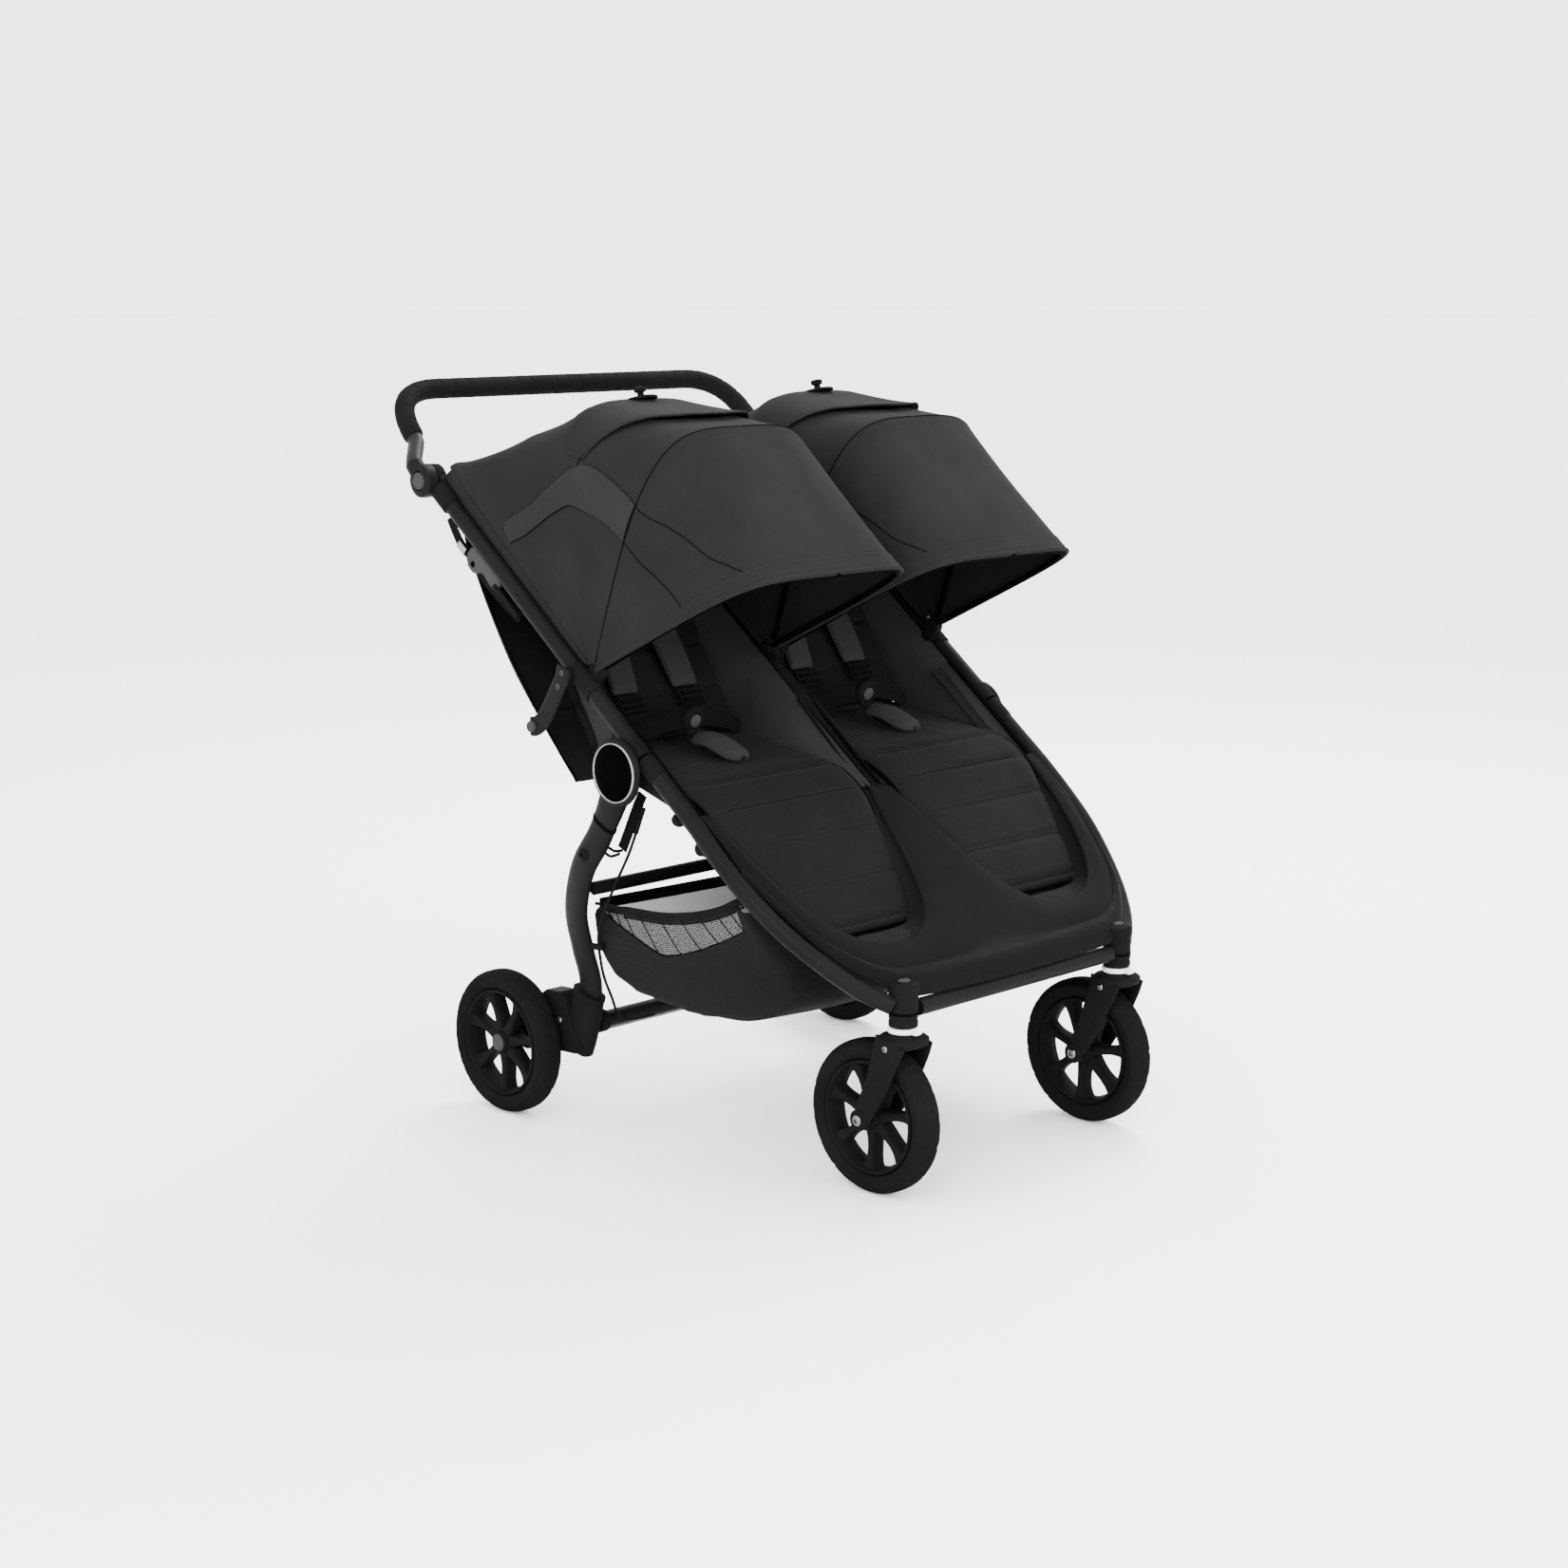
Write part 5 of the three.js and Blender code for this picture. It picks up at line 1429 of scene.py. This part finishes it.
def canopy(name, side):
    x = side * SEAT_X
    seed = 2.5 * side
    cols = 72

    def strip(a0, a1, steps, grow=6.4, t0=0.01):
        return [[canopy_point(x, mix(a0, a1, i / steps), mix(t0, 1 - t0, j / cols), grow, seed)
                 for j in range(cols + 1)] for i in range(steps + 1)]

    def line(points, out=6.9):
        """Seam on both sides of the canopy, through points given as (angle, height) at the pivot."""
        result = []
        for s in (-1, 1):
            path = []
            for q in curve([Vector((a, h, 0)) for a, h in points], 10):
                t = foot_side(q.x, q.y, s)
                path.append(canopy_point(x, q.x, t, out, seed))
            result.append(path)
        return result

    # rear cloth: from the rear edge over the ridge bow to the middle hoop
    rear = Piece(f"canopy_rear_cloth_{name}_sewn")
    low, high = strip(39.6, 75, 18), strip(75, 109, 14)
    main = low + high[1:]
    rear.add(sheet(main, 1.4), CLOTH)
    for angle, r, look in ((39.6, 2.6, CLOTH), (108.9, 0.9, SEAM)):
        path = [canopy_point(x, angle, mix(0.012, 0.988, j / cols), 6.6, seed) for j in range(cols + 1)]
        rear.add(tube(path, r, sides=8), look)
    for angle in (42, 107.6):
        path = [canopy_point(x, angle, mix(0.02, 0.98, j / cols), 6.9, seed) for j in range(cols + 1)]
        rear.sew(path, 3.8, 0.45)
    upper = ((46, 273), (55, 264), (62, 264), (72, 276), (79.8, 286), (85.5, 284), (97, 265), (108.6, 250))
    lower = ((43.5, 246), (50, 235), (57.8, 230), (70, 234), (77.2, 235), (86.8, 221), (98, 208),
             (108.6, 197))
    for points in (upper, lower, ((80, 286), (81.5, 317), (84.8, 350))):
        for path in line(points, 6.6):
            rear.add(tube(path, 0.7, sides=6), SEAM)
    # padded strip between the two seams
    heart = P(x, CANOPY[0], CANOPY[1] + 90)
    for path_a, path_b in zip(line(upper, 7.9), line(lower, 7.9)):
        band = []
        for a, b in zip(path_a, path_b):
            row = [mix(a, b, k / 6) for k in range(7)]
            puff = [0.0028 * math.sin(math.pi * k / 6) for k in range(7)]
            band.append([p + (p - heart).normalized() * rise for p, rise in zip(row, puff)])
        rear.add(sheet(band, 0.8), STRIP)
    # curtain from the rear edge down to the back of the seat
    curtain = []
    for i in range(9):
        f = i / 8
        row = []
        for j in range(25):
            u = -1 + j / 12
            top = canopy_point(x, 39.6, 0.5 + u * 0.12, 5.0, seed)
            fold = 4 * math.sin(math.pi * f) * noise.noise(Vector((u * 3, f, seed + 4)))
            shift = Vector((0, (fold - 5 * math.sin(math.pi * f)) * 0.001, 0))
            row.append(mix(top, P(x + u * 159, 725, 882), f) + shift)
        curtain.append(row)
    rear.add(sheet(curtain, 1.2), CLOTH)
    # narrow skirt that closes the rear cloth against the side rail and the middle rail
    skirts = []
    for s in (-1, 1):
        outer = s == side
        skirt = []
        for k in range(31):
            upper_edge = canopy_point(x, 39.8, foot_side(39.8, mix(24, 418, k / 30), s), 6.0, seed)
            along = slope_share(*yz(upper_edge)) + 10 * (k / 30) ** 3
            foot = rail(side * (351 if outer else CLOTH_IN), along, 47 if outer else 44)
            skirt.append([mix(upper_edge, foot, q / 5) + X * (s * 0.0015 * math.sin(math.pi * q / 5))
                          for q in range(6)])
        skirts.append(skirt)
        rear.add(sheet(skirt, 1.2), CLOTH)
        rear.add(tube([r[-1] for r in skirt], 2.0, sides=8), SEAM)
    # vent flap lying over the ridge, its front edge standing proud
    flap = []
    for i in range(13):
        f = i / 12
        row = []
        for j in range(33):
            q = -1 + j / 16
            angle = mix(70 + 6 * q * q, 101 - 19 * abs(q) ** 2.2, f)
            lift = 7.6 + 10 * f ** 1.5 * (1 - q * q) ** 0.8
            row.append(canopy_point(x, angle, 0.5 + q * FLAP_SHARE, lift, seed))
        flap.append(row)
    rear.add(sheet(flap, 1.6), CLOTH)
    rear.add(tube(flap[-1], 1.6, sides=8), CLOTH)
    rear.sew([p + Vector((0, 0, 0.0006)) for p in flap[-2]], 3.8, 0.45)
    # painted shadow under the proud edge: a near-black sheet where the flap's shadow falls
    shade = []
    for j, p in enumerate(flap[-1]):
        q = -1 + j / 16
        below = canopy_point(x, 97 - 17 * abs(q) ** 2.2, 0.5 + q * FLAP_SHARE, 6.9, seed)
        shade.append(mix(p, below, 0.85))
    rear.add(sheet([[mix(a, b, k / 3) - UP * 0.0015 for a, b in zip(flap[-2], shade)]
                    for k in range(4)], 1.0), BLACK_AND_SHADE)
    peg = canopy_point(x, 76, 0.5, 9, seed)
    up = Vector((0, 0.25, 1)).normalized()
    profile = [(0, -2), (24, -2), (24, 0.8), (22, 2), (9, 2.6), (7.5, 4), (5, 5), (5, 9), (8.6, 10),
               (9, 13), (8.6, 16), (5, 17), (0, 17.2)]
    rear.add(lathe(profile, peg, up, 36), PLASTIC)

    def hold_rear(obj):
        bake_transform(obj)
    obj = rear.done(None, "cloth", [f"canopy_rear_cloth_{name}"], hold=hold_rear, sharp=60)
    declare_cloth([main, flap, curtain, *skirts])

    # front cloth: middle hoop to brim, with a doubled hem and piping
    front = Piece(f"canopy_front_cloth_{name}_sewn")
    main, hem = strip(109, 154, 18), strip(149, 154, 4, 7.6, 0.03)
    front.add(sheet(main, 1.4), CLOTH)
    front.add(sheet(hem, 1.2), CLOTH)
    brim = [canopy_point(x, 154, mix(0.006, 0.994, j / cols), 6.2, seed) for j in range(cols + 1)]
    front.add(tube(brim, 3.2, sides=12), CLOTH)
    for angle in (149.6, 152.2, 110.6):
        lift = 8.0 if angle > 120 else 6.9
        path = [canopy_point(x, angle, mix(0.03, 0.97, j / cols), lift, seed) for j in range(cols + 1)]
        front.sew(path, 3.8)
    upper = ((109.4, 249), (112.3, 246), (120, 249), (138.4, 274), (146, 300), (153, 332))
    lower = ((109.4, 196), (121.6, 187), (134, 194), (149, 210))
    for points in (upper, lower):
        for path in line(points, 6.6):
            front.add(tube(path, 0.7, sides=6), SEAM)

    def hold_front(obj):
        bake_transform(obj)
    obj = front.done(None, "cloth", [f"canopy_front_cloth_{name}"], hold=hold_front, sharp=60)
    declare_cloth([main, hem])

    for hoop, bow, tuck in (("mid", BOWS[3], 0.0), ("brim", BOWS[4], 7.0)):
        wire = [bow_point(x, bow, mix(0.012, 0.988, j / cols)) for j in range(cols + 1)]
        pivot = P(x, *CANOPY)
        for p in wire:
            height = math.hypot(p.y - pivot.y, p.z - pivot.z) * 1000
            p.x -= math.copysign(tuck * 0.001 * max(0.0, 1 - height / 150), p.x - pivot.x)
        tilt = math.radians(bow[0])
        piece = Piece(f"canopy_{hoop}_hoop_{name}_wire")
        piece.add(tube(wire, 4, sides=12, across=Vector((0, -math.sin(tilt), math.cos(tilt)))), BLACK_AND_SHADE)
        for s in (-1, 1):
            eye = P(x + s * (HOOP_W - tuck - 3.4), *CANOPY)
            piece.add(lathe([(0, 0), (6.5, 0), (6.5, 3.4), (0, 3.4)], eye, X * s, 28), PLASTIC)
        piece.done(f"canopy_{hoop}_{name}", "steel", [f"canopy_{hoop}_hoop_{name}"])


# ---- assembly ---------------------------------------------------------------------------------------
for side_name, side_sign in SIDES:
    caster(side_name, side_sign)
    caster_housing(side_name, side_sign)
    wheel(f"rear_{side_name}", f"wheel_rear_{side_name}", side_sign * REAR_X, REAR_Y, side_sign)
    front_rail(side_name, side_sign)
    seat_pad(side_name, side_sign)
    seat_sling(side_name, side_sign)
    harness(side_name, side_sign, seat_back(side_name, side_sign))
    wings(side_name, side_sign)
    rear_leg(side_name, side_sign)
    wheel_bracket(side_name, side_sign)
    upper_rail(side_name, side_sign)
    pivot_housing(side_name, side_sign)
    back_cover(side_name, side_sign)
    canopy(side_name, side_sign)
cross_tubes()
footwell()
centre_rail()
basket()
rear_cross_members()
brake_cable()
top_cross_tube()
handlebar()
brake_lever()

# ---- stage --------------------------------------------------------------------------------------------
floor_mesh = bpy.data.meshes.new("floor")
floor_mesh.from_pydata([(-60, -60, 0), (60, -60, 0), (60, 60, 0), (-60, 60, 0)], [], [(0, 1, 2, 3)])
floor = bpy.data.objects.new("floor", floor_mesh)
bpy.context.collection.objects.link(floor)
pale = bpy.data.materials.new("pale_floor")
pale.use_nodes = True
set_inputs(pale.node_tree.nodes["Principled BSDF"], {"Base Color": (0.93, 0.93, 0.93, 1), "Roughness": 0.9})
floor_mesh.materials.append(pale)

world = bpy.data.worlds.new("studio")
bpy.context.scene.world = world
world.use_nodes = True
set_inputs(world.node_tree.nodes["Background"], {"Color": (1, 1, 1, 1), "Strength": 4.0})


def lamp(name, where, toward, power, size):
    """Square area lamp at a place, aimed at a point."""
    data = bpy.data.lights.new(name, "AREA")
    data.energy = power
    data.size = size
    obj = bpy.data.objects.new(name, data)
    obj.location = where
    obj.rotation_euler = (Vector(toward) - Vector(where)).to_track_quat("-Z", "Y").to_euler()
    bpy.context.collection.objects.link(obj)


lamp("key", (2.2, 0.8, 3.4), (0, 0, 0.4), 260, 1.6)
lamp("fill", (-3.2, -2.2, 2.4), (0, 0, 0.6), 160, 2.4)
lamp("front", (0.5, -3.6, 1.6), (0, 0, 0.5), 90, 2.0)

camera_data = bpy.data.cameras.new("camera")
camera_data.sensor_width = 36
camera_data.lens = 61.84
camera = bpy.data.objects.new("camera", camera_data)
camera.location = (-2.7874, -2.4324 - ORIGIN_Y / 1000, 1.2476)
azimuth, elevation = math.radians(44.43), math.radians(10.89)
level = math.cos(elevation)
gaze = Vector((level * math.sin(azimuth), level * math.cos(azimuth), -math.sin(elevation)))
camera.rotation_euler = gaze.to_track_quat("-Z", "Y").to_euler()
bpy.context.collection.objects.link(camera)
bpy.context.scene.camera = camera
